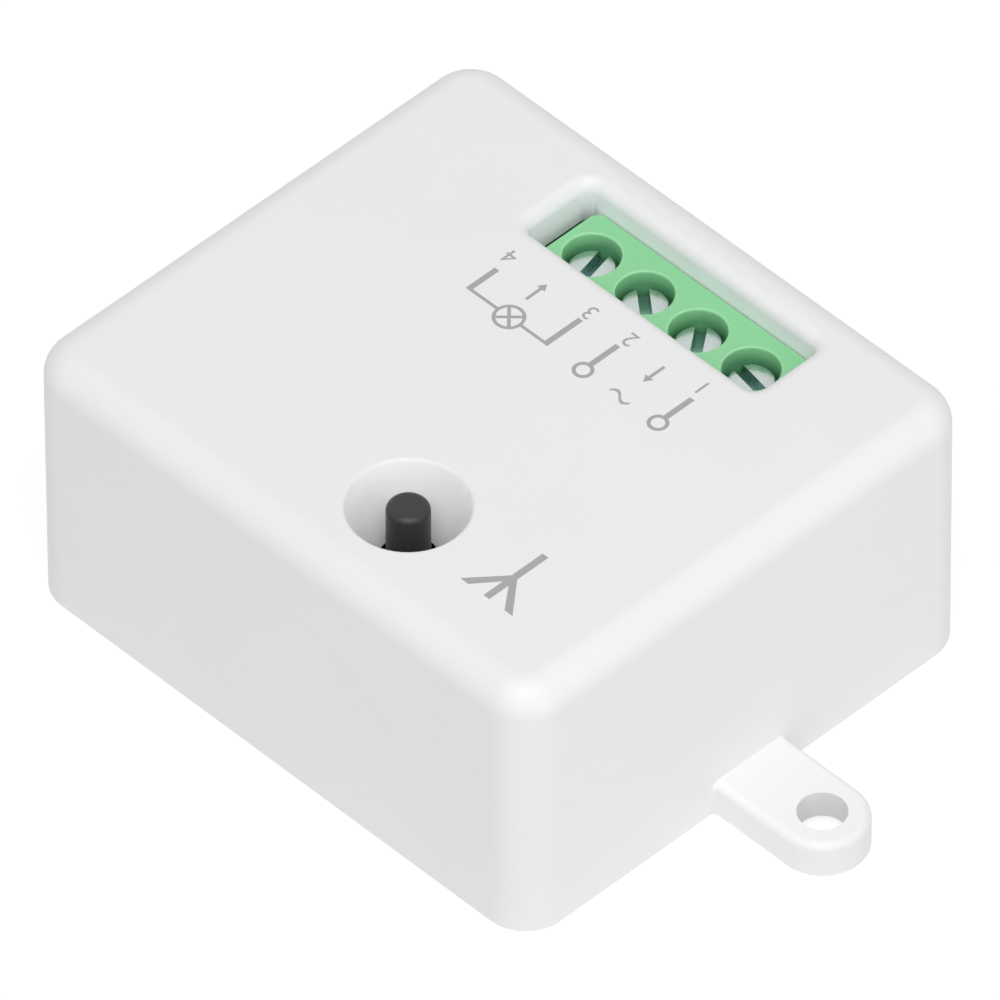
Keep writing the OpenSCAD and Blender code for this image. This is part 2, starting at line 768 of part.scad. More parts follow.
module housing() {
    color("whitesmoke")
        difference() {
            union() {
                difference() {
                    union() {
                        crowned_box(body_l, body_w, body_h, corner_r, top_edge_r);
                        for (side = [0, 1]) mirror([side, 0, 0]) ear();
                    }
                    translate([0, 0, -past])
                        linear_extrude(ceiling_z + past) round_rect(inner_l, inner_w, inner_r);
                }
                recess_boss();
                window_collar();
                for (sx = [-1, 1])
                    for (sy = [-1, 1])
                        translate([sx * column_x, sy * column_y, board_top])
                            cylinder(r = column_r, h = ceiling_z - board_top + top_t / 4);
            }
            window_cut();
            recess_cut();
            wire_slot();
            at_hooks() hook_pocket();
        }
}

// Base plate

// Snap hook on the +Y side, with a sloped lead-in above its catch
module snap_hook() {
    face_y = inner_w / 2 - base_fit;
    translate([0, face_y, 0])
        rotate([90, 0, 90])
            linear_extrude(hook_w, center = true)
                polygon([
                    [-hook_t, base_t / 2], [0, base_t / 2], [0, catch_z],
                    [hook_catch, catch_z], [hook_catch, catch_z + catch_h / 4],
                    [0, hook_top], [-hook_t, hook_top]
                ]);
}

module base_plate() {
    color("gainsboro") {
        linear_extrude(base_t)
            round_rect(inner_l - 2 * base_fit, inner_w - 2 * base_fit, inner_r - base_fit);
        for (sx = [-1, 1])
            for (sy = [-1, 1])
                translate([sx * (column_x - post_r / 2), sy * (column_y - post_r / 2), base_t / 2])
                    cylinder(r = post_r, h = board_z - base_t / 2);
        at_hooks() snap_hook();
    }
}

// Circuit board

module circuit_board() {
    color("darkgreen")
        translate([0, 0, board_z])
            linear_extrude(board_t)
                difference() {
                    round_rect(board_l, board_w, inner_r);
                    for (p = thin_leads_at) translate(p) circle(lead_r + lead_gap);
                    for (p = relay_pins_at) translate(p) circle(relay_pin_r + lead_gap);
                    for (i = [0:poles - 1])
                        translate([pole_x(i), leg_y]) circle(leg_hole_r + lead_gap);
                }
}

// Terminal block

// Space for one pole: screw hole, shelf, clamp cell and wire entry
module pole_cut() {
    bevel_z = block_top - screw_hole_bevel;
    translate([0, 0, shelf_z]) cylinder(d = screw_hole_d, h = block_top - shelf_z + past);
    translate([0, 0, bevel_z])
        cylinder(d1 = screw_hole_d, d2 = screw_hole_d + 2 * screw_hole_bevel, h = screw_hole_bevel);
    translate([0, 0, cell_top - past]) cylinder(d = shank_d + 2 * run_gap, h = shelf_t + 2 * past);
    translate([-cell_w / 2, cell_y0 - row_y, board_top - past])
        cube([cell_w, cell_y1 - cell_y0, cell_top - board_top + past]);
    translate([-entry_w / 2, 0, entry_z])
        cube([entry_w, block_y1 - row_y + past, entry_top - entry_z]);
}

module terminal_housing() {
    row_w = window_w - 2 * window_side_gap;
    row_corner_r = window_corner_r - window_side_gap;
    color("mediumseagreen")
        difference() {
            union() {
                translate([block_x0, block_y0, board_top])
                    cube([block_x1 - block_x0, block_y1 - block_y0, step_z - board_top]);
                translate([(block_x0 + block_x1) / 2, window_y, board_top])
                    linear_extrude(block_top - board_top)
                        round_rect(block_x1 - block_x0, row_w, row_corner_r);
            }
            for (i = [0:poles - 1]) translate([pole_x(i), row_y, 0]) pole_cut();
        }
}

module terminal_contacts() {
    bar_y1 = row_y + cage_d / 2;
    color("goldenrod")
        for (i = [0:poles - 1])
            translate([pole_x(i), cell_y0, 0]) {
                translate([-bar_w / 2, 0, bar_z]) cube([bar_w, bar_y1 - cell_y0, bar_t]);
                translate([-leg_w / 2, 0, lead_z]) cube([leg_w, bar_t, bar_top - lead_z]);
            }
}

module terminal_screw(i) {
    head_z = shelf_z + run_gap;
    head_top = head_z + head_h;
    color("silver")
        translate([pole_x(i), row_y, 0])
            difference() {
                union() {
                    translate([0, 0, head_z]) cylinder(d = head_d, h = head_h - head_bevel);
                    translate([0, 0, head_top - head_bevel])
                        cylinder(d1 = head_d, d2 = head_d - 2 * head_bevel, h = head_bevel);
                    translate([0, 0, shank_end])
                        cylinder(d = shank_d, h = head_z - shank_end + head_bevel);
                }
                rotate(slot_turn[i])
                    translate([0, 0, head_top - slot_d]) block(head_d + past, slot_w, slot_d + past);
            }
}

module clamp_cage(i) {
    hollow_z = cage_z + cage_floor_t;
    color("lightgray")
        translate([pole_x(i), row_y, 0])
            difference() {
                translate([0, 0, cage_z]) block(cage_w, cage_d, cage_top - cage_z);
                translate([0, 0, hollow_z])
                    block(cage_in_w, cage_d + past, nut_z - hollow_z);
                translate([0, 0, nut_z - past])
                    cylinder(d = shank_d + 2 * run_gap, h = cage_nut_t + 2 * past);
            }
}

// Push button and switch

module button_stem() {
    color("#242424")
        translate([button_x, button_y, flange_z])
            rotate_extrude() {
                crowned_half(stem_d, stem_top - flange_z, stem_tip_r);
                square([flange_r, stem_flange_t]);
            }
}

module switch_body() {
    color("#1c1c1c")
        translate([button_x, button_y, 0])
            difference() {
                translate([0, 0, board_top]) block(switch_w, switch_w, switch_base_top - board_top);
                translate([0, 0, dome_z])
                    cylinder(d = switch_well_d, h = switch_base_top - dome_z + past);
            }
}

module switch_cover() {
    color("silver")
        translate([button_x, button_y, switch_base_top])
            difference() {
                block(switch_w, switch_w, switch_cover_t);
                translate([0, 0, -past])
                    cylinder(d = stem_d + 2 * free_gap, h = switch_cover_t + 2 * past);
            }
}

// Shallow domed disc: the cap of a thin hollow ball
module switch_dome() {
    ball_r = (dome_d * dome_d / 4 + dome_h * dome_h) / (2 * dome_h);
    color("goldenrod")
        translate([button_x, button_y, dome_z])
            rotate_extrude()
                intersection() {
                    translate([0, dome_h - ball_r])
                        difference() {
                            circle(ball_r);
                            circle(ball_r - dome_t);
                        }
                    square([dome_d / 2, dome_h + past]);
                }
}

// Legs that come out of the switch's sides and turn down through the board
module switch_legs() {
    arm_z = board_top + switch_h / 4;
    arm_l = switch_leg_x / 2 + lead_r - switch_w / 2;
    color("silver")
        translate([button_x, button_y, 0])
            for (sx = [0, 1])
                for (sy = [-1, 1])
                    mirror([sx, 0, 0])
                        translate([switch_leg_x / 2, sy * switch_leg_y / 2, 0]) {
                            lead(lead_r, arm_z + lead_r);
                            translate([lead_r - arm_l, -lead_r, arm_z])
                                cube([arm_l - lead_r, 2 * lead_r, lead_r]);
                        }
}

// Relay

module relay_base() {
    color("#303030")
        translate([relay_x, relay_y, board_top])
            block(relay_in_l - 2 * run_gap, relay_in_w - 2 * run_gap, relay_base_t);
}

module relay_cover() {
    color("royalblue")
        translate([relay_x, relay_y, 0])
            difference() {
                translate([0, 0, board_top + run_gap])
                    block(relay_l, relay_w, relay_h - run_gap);
                block(relay_in_l, relay_in_w, relay_roof);
            }
}

module relay_yoke() {
    bar_l = core_x + bobbin_r - yoke_x;
    color("dimgray")
        translate([yoke_x, relay_y - yoke_w / 2, relay_floor]) {
            cube([bar_l, yoke_w, yoke_t]);
            cube([yoke_t, yoke_w, hinge_z - run_gap - relay_floor]);
        }
}

module relay_core() {
    core_z = relay_floor + yoke_t;
    color("gray")
        translate([core_x, relay_y, core_z]) cylinder(r = core_r, h = pole_z - core_z);
}

// Coil former: a tube with a round flange at each end
module relay_bobbin() {
    former_z = relay_floor + yoke_t;
    former_top = pole_z - free_gap;
    color("ivory")
        translate([core_x, relay_y, 0])
            difference() {
                union() {
                    for (z = [former_z, former_top - bobbin_t])
                        translate([0, 0, z]) cylinder(r = bobbin_r, h = bobbin_t);
                    translate([0, 0, former_z])
                        cylinder(r = core_r + run_gap + bobbin_t, h = former_top - former_z);
                }
                translate([0, 0, former_z - past])
                    cylinder(r = core_r + run_gap, h = former_top - former_z + 2 * past);
            }
}

module relay_coil() {
    coil_z = relay_floor + yoke_t + bobbin_t + run_gap;
    coil_h = pole_z - free_gap - bobbin_t - run_gap - coil_z;
    color("peru")
        translate([core_x, relay_y, coil_z])
            difference() {
                cylinder(r = coil_r, h = coil_h);
                translate([0, 0, -past])
                    cylinder(r = core_r + bobbin_t + 2 * run_gap, h = coil_h + 2 * past);
            }
}

module relay_armature() {
    color("gray")
        translate([yoke_x, relay_y - yoke_w / 2, hinge_z])
            cube([armature_x1 - yoke_x, yoke_w, armature_t]);
}

module relay_contact_spring() {
    color("goldenrod")
        translate([hinge_x, relay_y - blade_w / 2, hinge_z + armature_t])
            cube([contact_x + contact_r - hinge_x, blade_w, blade_t]);
}

module relay_moving_contact() {
    color("silver")
        translate([contact_x, relay_y, moving_z]) cylinder(r = contact_r, h = contact_h);
}

// Post with a tab that carries the fixed contact
module relay_fixed_contact() {
    tab_z = fixed_z - contact_h;
    color("goldenrod")
        translate([contact_x, relay_y, 0]) {
            translate([0, 0, tab_z - bobbin_t / 2]) cylinder(r = contact_r, h = contact_h + bobbin_t / 2);
            translate([0, 0, tab_z - bobbin_t]) block(2 * contact_r, blade_w, bobbin_t);
            translate([0, 0, relay_floor]) block(bobbin_t, blade_w, tab_z - relay_floor);
        }
}

module relay_pins() {
    color("silver")
        for (p = relay_pins_at) translate(p) lead(relay_pin_r, board_top);
}

// Transformer

// One half of the ferrite core: an end bar with three legs towards the middle
module ferrite_half() {
    leg_l = ferrite_l / 2 - run_gap;
    translate([0, run_gap, -ferrite_t / 2])
        linear_extrude(ferrite_t) {
            for (side = [-1, 1])
                translate([side * (ferrite_w - ferrite_leg) / 2 - ferrite_leg / 2, 0])
                    square([ferrite_leg, leg_l]);
            translate([-ferrite_mid / 2, 0]) square([ferrite_mid, leg_l]);
            translate([-ferrite_w / 2, leg_l - ferrite_leg]) square([ferrite_w, ferrite_leg]);
        }
}

module transformer_core() {
    color("#3a3a3a")
        translate([transformer_x, transformer_y, transformer_z])
            for (side = [0, 1]) mirror([0, side, 0]) ferrite_half();
}

// Winding former: a square tube with flanges and two pin rails that stand on the board
module transformer_former() {
    flange_y = former_l / 2 - former_t;
    color("#2b2b2b")
        translate([transformer_x, transformer_y, 0]) {
            translate([0, 0, transformer_z])
                rotate([90, 0, 0])
                    difference() {
                        union() {
                            linear_extrude(former_l, center = true)
                                square([tube_w, tube_h], center = true);
                            for (side = [0, 1])
                                mirror([0, 0, side])
                                    translate([0, 0, flange_y])
                                        linear_extrude(former_t)
                                            square([former_w, former_h], center = true);
                        }
                        linear_extrude(former_l + 2 * past, center = true)
                            square([tube_w - 2 * former_t, tube_h - 2 * former_t], center = true);
                    }
            for (side = [-1, 1])
                translate([0, side * rail_y, board_top]) block(rail_w, rail_t, rail_h);
        }
}

module transformer_winding() {
    winding_l = former_l - 2 * former_t - 2 * run_gap;
    color("gold")
        translate([transformer_x, transformer_y, transformer_z])
            rotate([90, 0, 0])
                linear_extrude(winding_l, center = true)
                    difference() {
                        round_rect(winding_w, winding_h, former_t);
                        square([tube_w + 2 * run_gap, tube_h + 2 * run_gap], center = true);
                    }
}

module transformer_pins() {
    color("silver")
        for (p = transformer_pins_at) translate(p) lead(lead_r, board_top);
}

// Capacitors

module can_capacitor(x, y, d, h) {
    translate([x, y, board_top]) rotate_extrude() crowned_half(d, h, cap_edge_r);
}

module mains_capacitor() {
    color("#26324a") can_capacitor(mains_cap_x, mains_cap_y, mains_cap_d, mains_cap_h);
}

module output_capacitor() {
    color("#20382c") can_capacitor(output_cap_x, output_cap_y, output_cap_d, output_cap_h);
}

module capacitor_leads() {
    color("silver")
        for (p = capacitor_leads_at) translate(p) lead(lead_r, board_top);
}

// Protection parts

// Round disc on edge, with sockets for its two leads
module varistor() {
    edge_r = varistor_t / 4;
    color("steelblue")
        difference() {
            translate([varistor_x, varistor_y, varistor_z])
                for (side = [0, 1])
                    mirror([side, 0, 0])
                        rotate([0, 90, 0]) rotate_extrude() crowned_half(varistor_d, varistor_t / 2, edge_r);
            for (p = varistor_leads_at)
                translate([p[0], p[1], board_top])
                    cylinder(r = lead_r + run_gap, h = varistor_lift + varistor_socket);
        }
}

module fuse_resistor() {
    color("tan")
        translate([fuse_x, fuse_y, fuse_z])
            for (side = [0, 1])
                mirror([0, side, 0])
                    rotate([-90, 0, 0]) rotate_extrude() crowned_half(fuse_d, fuse_l / 2, fuse_d / 4);
}

// Lead of the fuse resistor on its +Y side: out of the end, round a bend and down
module fuse_lead() {
    down_y = fuse_pitch / 2;
    translate([fuse_x, fuse_y, 0]) {
        translate([0, fuse_l / 2, fuse_z])
            rotate([-90, 0, 0]) cylinder(r = lead_r, h = down_y - fuse_bend_r - fuse_l / 2);
        translate([0, down_y - fuse_bend_r, fuse_z - fuse_bend_r])
            rotate([90, 0, 90])
                rotate_extrude(angle = 90) translate([fuse_bend_r, 0]) circle(lead_r);
        translate([0, down_y, 0]) lead(lead_r, fuse_z - fuse_bend_r);
    }
}

module protection_leads() {
    color("silver") {
        for (p = varistor_leads_at) translate(p) lead(lead_r, board_top + varistor_lift + varistor_socket);
        fuse_lead();
        translate([0, 2 * fuse_y, 0]) mirror([0, 1, 0]) fuse_lead();
    }
}

// Chips

// Moulded body above the board, with a dimple at its first leg
module chip(x, y, l, w, h) {
    dimple_r = w / 10;
    translate([x, y, board_top + chip_lift])
        difference() {
            block(l, w, h);
            translate([3 * dimple_r - l / 2, 3 * dimple_r - w / 2, h - dimple_r / 2])
                cylinder(r = dimple_r, h = dimple_r);
        }
}

// Bent leg on the +Y side of a body that is w wide and h high
module chip_leg(w, h) {
    knee_z = chip_lift + h / 2;
    mid = chip_leg_l / 2;
    translate([0, w / 2, board_top])
        rotate([90, 0, 90])
            linear_extrude(chip_leg_w, center = true)
                polygon([
                    [0, knee_z - chip_leg_t], [mid - chip_leg_t, knee_z - chip_leg_t],
                    [mid - chip_leg_t, 0], [chip_leg_l, 0], [chip_leg_l, chip_leg_t],
                    [mid, chip_leg_t], [mid, knee_z], [0, knee_z]
                ]);
}

// Row of legs on the +Y side of a body
module leg_row(w, h, count, pitch) {
    for (k = [0:count - 1]) translate([(k - (count - 1) / 2) * pitch, 0, 0]) chip_leg(w, h);
}

// Rows of legs on both long sides of a body
module leg_rows(x, y, w, h, count, pitch) {
    translate([x, y, 0])
        for (side = [0, 1]) mirror([0, side, 0]) leg_row(w, h, count, pitch);
}

module bridge_rectifier() {
    color("#222222") chip(rectifier_x, rectifier_y, rectifier_l, rectifier_w, rectifier_h);
}

module power_chip() {
    color("#222222") chip(power_x, power_y, chip_l, chip_w, chip_h);
}

module control_chip() {
    color("#222222") chip(control_x, control_y, chip_l, chip_w, chip_h);
}

module radio_chip() {
    color("#222222") chip(radio_x, radio_y, chip_l, chip_w, chip_h);
}

module flyback_diode() {
    color("#222222") chip(diode_x, diode_y, diode_l, diode_w, diode_h);
}

module driver_transistor() {
    color("#222222") chip(transistor_x, transistor_y, transistor_l, transistor_w, transistor_h);
}

module chip_legs() {
    color("silver") {
        for (p = [[power_x, power_y], [control_x, control_y], [radio_x, radio_y]])
            leg_rows(p[0], p[1], chip_w, chip_h, 4, chip_pitch);
        leg_rows(rectifier_x, rectifier_y, rectifier_w, rectifier_h, 2, 2 * chip_pitch);
        translate([diode_x, diode_y, 0]) rotate(90) leg_rows(0, 0, diode_l, diode_h, 1, chip_pitch);
        translate([transistor_x, transistor_y, 0]) {
            leg_row(transistor_w, transistor_h, 2, transistor_l - chip_leg_w);
            mirror([0, 1, 0]) leg_row(transistor_w, transistor_h, 1, chip_pitch);
        }
    }
}

// Row of small resistors in front of the control chip
module chip_resistors() {
    color("#151515")
        for (k = [0:2])
            translate([resistor_x + k * (resistor_l + part_gap), resistor_y, board_top])
                block(resistor_l, resistor_w, resistor_h);
}

// Radio

// Flat oval of overall length l and width w
module oval(l, w) {
    square([l - w, w], center = true);
    for (side = [-1, 1]) translate([side * (l - w) / 2, 0]) circle(d = w);
}

module crystal() {
    color("silver")
        translate([crystal_x, crystal_y, board_top]) {
            linear_extrude(crystal_rim) oval(crystal_l, crystal_w);
            linear_extrude(crystal_h) oval(crystal_l - 2 * crystal_rim, crystal_w - 2 * crystal_rim);
        }
}

module crystal_leads() {
    color("silver")
        for (p = crystal_leads_at) translate(p) lead(lead_r, board_top);
}

// Antenna wire: up from the board, then in even turns along X, with a short straight end
wire_r = antenna_wire_d / 2;
wire_sides = 6;
turn_rings = 8;
wire_rings = antenna_turns * turn_rings;
rise = atan(antenna_pitch / (2 * PI * antenna_r));
function turn_at(i) = 360 * i / turn_rings;
function radial(a) = [0, cos(a), sin(a)];
function along(a) = [sin(rise), -sin(a) * cos(rise), cos(a) * cos(rise)];
function on_coil(i) =
    [antenna_x + antenna_pitch * i / turn_rings, antenna_y, antenna_z]
    + antenna_r * radial(turn_at(i));
wire_end = on_coil(wire_rings) + antenna_wire_d * along(turn_at(wire_rings));
// Each ring of the wire: its middle, the way out from the coil's axis and the way along the wire
wire_path = concat(
    [
        [[antenna_x, antenna_lead[1], lead_z], radial(0), [0, 0, 1]],
        [[antenna_x, antenna_lead[1], antenna_z - antenna_wire_d], radial(0), [0, 0, 1]]
    ],
    [for (i = [0:wire_rings]) [on_coil(i), radial(turn_at(i)), along(turn_at(i))]],
    [[wire_end, radial(turn_at(wire_rings)), along(turn_at(wire_rings))]]
);
function ring(p) = [
    for (k = [0:wire_sides - 1])
    p[0] + wire_r * (cos(360 * k / wire_sides) * p[1] + sin(360 * k / wire_sides) * cross(p[2], p[1]))
];
wire_gap = min([
    for (i = [0:len(wire_path) - 1])
    for (j = [i + turn_rings / 2 + 1:1:len(wire_path) - 1])
    norm(wire_path[i][0] - wire_path[j][0])
]) - antenna_wire_d;
echo(least_gap_between_antenna_turns = wire_gap);

module antenna_coil() {
    last = (len(wire_path) - 1) * wire_sides;
    sides = [
        for (i = [0:len(wire_path) - 2])
        for (k = [0:wire_sides - 1])
        let (a = i * wire_sides + k)
        let (b = i * wire_sides + (k + 1) % wire_sides)
        each [[a, b, b + wire_sides], [a, b + wire_sides, a + wire_sides]]
    ];
    ends = [
        for (k = [1:wire_sides - 2])
        each [[0, k + 1, k], [last, last + k, last + k + 1]]
    ];
    color("peru")
        polyhedron(points = [for (p = wire_path) each ring(p)], faces = concat(sides, ends));
}

housing();
base_plate();
circuit_board();
terminal_housing();
terminal_contacts();
terminal_screw(0);  // terminal_screw_1
terminal_screw(1);  // terminal_screw_2
terminal_screw(2);  // terminal_screw_3
terminal_screw(3);  // terminal_screw_4
clamp_cage(0);  // clamp_cage_1
clamp_cage(1);  // clamp_cage_2
clamp_cage(2);  // clamp_cage_3
clamp_cage(3);  // clamp_cage_4
button_stem();
switch_body();
switch_cover();
switch_dome();
switch_legs();
relay_base();
relay_cover();
relay_yoke();
relay_core();
relay_bobbin();
relay_coil();
relay_armature();
relay_contact_spring();
relay_moving_contact();
relay_fixed_contact();
relay_pins();
transformer_core();
transformer_former();
transformer_winding();
transformer_pins();
mains_capacitor();
output_capacitor();
capacitor_leads();
varistor();
fuse_resistor();
protection_leads();
bridge_rectifier();
power_chip();
control_chip();
radio_chip();
flyback_diode();
driver_transistor();
chip_legs();
chip_resistors();
crystal();
crystal_leads();
antenna_coil();
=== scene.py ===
import json
import math

import bmesh
import bpy
from mathutils import Matrix, Vector


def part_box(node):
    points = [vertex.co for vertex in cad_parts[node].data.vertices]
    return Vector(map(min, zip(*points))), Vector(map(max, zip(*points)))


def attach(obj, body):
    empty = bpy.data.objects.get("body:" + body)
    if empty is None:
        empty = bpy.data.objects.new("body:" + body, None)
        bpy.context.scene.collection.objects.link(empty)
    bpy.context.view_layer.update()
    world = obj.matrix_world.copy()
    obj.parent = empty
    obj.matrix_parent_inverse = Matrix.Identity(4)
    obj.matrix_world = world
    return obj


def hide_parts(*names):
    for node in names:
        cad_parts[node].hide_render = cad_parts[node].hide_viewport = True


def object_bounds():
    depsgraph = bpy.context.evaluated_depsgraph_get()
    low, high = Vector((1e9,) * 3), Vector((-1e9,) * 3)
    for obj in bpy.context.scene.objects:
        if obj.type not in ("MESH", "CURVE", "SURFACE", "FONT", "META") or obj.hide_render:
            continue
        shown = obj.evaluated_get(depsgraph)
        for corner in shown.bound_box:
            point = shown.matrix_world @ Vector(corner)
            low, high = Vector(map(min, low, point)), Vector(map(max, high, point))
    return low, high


# Finishes, screws, antenna wire, solder, printed marks, studio and camera of a boxed relay
# module. Lengths are in metres, and those written in millimetres are multiplied by MM.

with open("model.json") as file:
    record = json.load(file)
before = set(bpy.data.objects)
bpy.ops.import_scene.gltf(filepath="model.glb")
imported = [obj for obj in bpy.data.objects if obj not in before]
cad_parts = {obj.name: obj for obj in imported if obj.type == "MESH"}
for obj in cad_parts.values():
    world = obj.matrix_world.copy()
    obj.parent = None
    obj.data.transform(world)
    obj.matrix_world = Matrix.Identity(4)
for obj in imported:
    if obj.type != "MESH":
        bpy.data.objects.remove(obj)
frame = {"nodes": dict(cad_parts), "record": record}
cad_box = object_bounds()
nodes = frame["nodes"]
MM = 0.001


# Tools for node trees


def feed(tree, value, socket):
    """Links another node's output to a socket, or sets the socket's own value."""
    if isinstance(value, bpy.types.NodeSocket):
        tree.links.new(value, socket)
    else:
        socket.default_value = value


def add(tree, kind, inputs=None, **settings):
    """Adds a node with its settings and inputs, and returns it."""
    made = tree.nodes.new(kind)
    for name, value in settings.items():
        setattr(made, name, value)
    for socket, value in (inputs or {}).items():
        feed(tree, value, made.inputs[socket])
    return made


def calc(tree, operation, *values):
    """Output of a math node."""
    return add(tree, "ShaderNodeMath", dict(enumerate(values)), operation=operation).outputs[0]


def spread(tree, value, low, high, from_low=0.3, from_high=0.7):
    """Maps a value onto a range and holds it there; by default, from where most noise lies."""
    limits = {"From Min": from_low, "From Max": from_high, "To Min": low, "To Max": high}
    return add(tree, "ShaderNodeMapRange", {"Value": value, **limits}).outputs["Result"]


def axes_of(tree, place):
    """The three coordinates of a place, by name."""
    return add(tree, "ShaderNodeSeparateXYZ", {0: place}).outputs


def within(tree, value, low, high):
    """1 where a value lies between two limits, and 0 elsewhere."""
    above = calc(tree, "GREATER_THAN", value, low)
    return calc(tree, "MULTIPLY", above, calc(tree, "LESS_THAN", value, high))


# Tools for materials


def blank_finish(name):
    """New material, its node tree and its shader."""
    material = bpy.data.materials.new(name)
    material.use_nodes = True
    tree = material.node_tree
    return material, tree, tree.nodes["Principled BSDF"]


def object_place(tree, centre=(0, 0, 0)):
    """Object coordinates, counted from a centre."""
    place = add(tree, "ShaderNodeTexCoord").outputs["Object"]
    away = [-v for v in centre]
    return add(tree, "ShaderNodeMapping", {"Vector": place, "Location": away}).outputs["Vector"]


def noise(tree, place, grain, detail=2.0, stretch=(1, 1, 1)):
    """Noise with grains of a given size, finer along the axes that stretch raises."""
    place = add(tree, "ShaderNodeMapping", {"Vector": place, "Scale": stretch}).outputs["Vector"]
    pattern = {"Vector": place, "Scale": 1 / grain, "Detail": detail}
    return add(tree, "ShaderNodeTexNoise", pattern).outputs["Fac"]


def tint(tree, share, first, second):
    """Mixes two colours by a pattern; each is a colour or another node's output."""
    mix = add(tree, "ShaderNodeMix", {"Factor": share}, data_type="RGBA")
    sockets = [s for s in mix.inputs if s.type == "RGBA"]
    for socket, colour in zip(sockets, (first, second)):
        feed(tree, colour if isinstance(colour, bpy.types.NodeSocket) else (*colour, 1), socket)
    return next(s for s in mix.outputs if s.type == "RGBA")


def bumped(tree, height, depth, under=None):
    """Normal of a surface whose relief is depth metres high."""
    relief = add(tree, "ShaderNodeBump", {"Height": height, "Distance": depth})
    if under:
        feed(tree, under, relief.inputs["Normal"])
    return relief.outputs["Normal"]


def shade_of(colour, factor):
    """The same colour, lighter or darker."""
    return [min(c * factor, 1) for c in colour]


# Finishes

TONE_PATCH = 9 * MM
GLOSS_PATCH = 1.4 * MM
GLOSS_SPREAD = 0.05
FLOW_PATCH = 3 * MM
FLOW_RELIEF = 4


def moulded_plastic(name, colour, rough, grain, relief, tone, paint=None):
    """Moulded plastic: slow changes of tone, uneven gloss, flow lines and the mould's fine grain.

    Where paint is given, it takes the tree and the colours and returns them with marks on them;
    some paints add painted light and shade.
    """
    material, tree, shader = blank_finish(name)
    place = object_place(tree)
    cloud = spread(tree, noise(tree, place, TONE_PATCH), 0, 1)
    colours = tint(tree, cloud, shade_of(colour, 1 - tone), shade_of(colour, 1 + tone))
    feed(tree, paint(tree, colours) if paint else colours, shader.inputs["Base Color"])
    patches = noise(tree, place, GLOSS_PATCH, detail=4)
    gloss = spread(tree, patches, rough - GLOSS_SPREAD, rough + GLOSS_SPREAD)
    feed(tree, gloss, shader.inputs["Roughness"])
    flow = bumped(tree, noise(tree, place, FLOW_PATCH, detail=1), FLOW_RELIEF * relief)
    grains = noise(tree, place, grain, detail=3)
    feed(tree, bumped(tree, grains, relief, flow), shader.inputs["Normal"])
    return material


PLATING_PATCH = 0.8 * MM
SCRATCH = 0.5 * MM
SCRATCH_STRETCH = (1, 9, 1)
SCRATCH_DEPTH = 0.001 * MM
SCRATCH_SHINE = 0.06
SCRATCH_DULL = 0.08
WAVE_LENGTH = math.pi / 10
RING_DEPTH = 0.0008 * MM
RING_WOBBLE = 1.5


def plated_metal(name, colour, rough, tone=0.08, kept_place=None, ring=None, paint=None):
    """Plated metal: dull patches, fine scratches and, where ring gives their pitch, turned rings.

    The pattern follows object coordinates, or the place that a piece keeps in an attribute.
    Where paint is given, it takes the tree, the colours and that place, and returns the colours.
    """
    material, tree, shader = blank_finish(name)
    place = object_place(tree)
    if kept_place:
        place = add(tree, "ShaderNodeAttribute", attribute_name=kept_place).outputs["Vector"]
    patches = spread(tree, noise(tree, place, PLATING_PATCH, detail=4), 0, 1)
    colours = tint(tree, patches, shade_of(colour, 1 - tone), shade_of(colour, 1 + tone / 2))
    feed(tree, paint(tree, colours, place) if paint else colours, shader.inputs["Base Color"])
    shader.inputs["Metallic"].default_value = 1
    scratches = noise(tree, place, SCRATCH, 3, SCRATCH_STRETCH)
    gloss = spread(tree, scratches, rough - SCRATCH_SHINE, rough + SCRATCH_DULL)
    feed(tree, gloss, shader.inputs["Roughness"])
    relief = bumped(tree, scratches, SCRATCH_DEPTH)
    if ring:
        pattern = {"Vector": place, "Scale": WAVE_LENGTH / ring, "Distortion": RING_WOBBLE}
        rings = add(tree, "ShaderNodeTexWave", pattern, wave_type="RINGS", rings_direction="Z")
        relief = bumped(tree, rings.outputs["Fac"], RING_DEPTH, relief)
    feed(tree, relief, shader.inputs["Normal"])
    return material


GROOVE_SHADE = 0.35
ENAMEL_METAL = 0.8
ENAMEL_PATCH = 0.6 * MM
ENAMEL_ROUGH = (0.25, 0.4)


def wound_wire(name, colour, pitch):
    """Enamelled wire laid turn beside turn along Z, with painted shade in the grooves between turns.
    """
    material, tree, shader = blank_finish(name)
    place = object_place(tree)
    across = calc(tree, "PINGPONG", axes_of(tree, place)["Z"], pitch / 2)
    crown = calc(tree, "SQRT", spread(tree, across, 0, 1, 0, pitch / 2))
    # painted shade: the grooves between turns are darker
    groove = shade_of(colour, GROOVE_SHADE)
    feed(tree, tint(tree, crown, groove, colour), shader.inputs["Base Color"])
    shader.inputs["Metallic"].default_value = ENAMEL_METAL
    uneven = spread(tree, noise(tree, place, ENAMEL_PATCH), *ENAMEL_ROUGH)
    feed(tree, uneven, shader.inputs["Roughness"])
    feed(tree, bumped(tree, crown, pitch / 2), shader.inputs["Normal"])
    return material


INK_PORE = 0.12 * MM
INK_PATCH = 0.4 * MM
INK_ROUGH = (0.45, 0.6)
PORE_LEVELS = (0.45, 0.75)
PORE_SHADE = 1.12
PORE_DEPTH = 0.001 * MM


def printed_ink(name, colour):
    """Thin pad-printed ink with slightly lighter pores."""
    material, tree, shader = blank_finish(name)
    place = object_place(tree)
    pores = spread(tree, noise(tree, place, INK_PORE, detail=4), 0, 1, *PORE_LEVELS)
    colours = tint(tree, pores, colour, shade_of(colour, PORE_SHADE))
    feed(tree, colours, shader.inputs["Base Color"])
    uneven = spread(tree, noise(tree, place, INK_PATCH), *INK_ROUGH)
    feed(tree, uneven, shader.inputs["Roughness"])
    feed(tree, bumped(tree, pores, PORE_DEPTH), shader.inputs["Normal"])
    return material
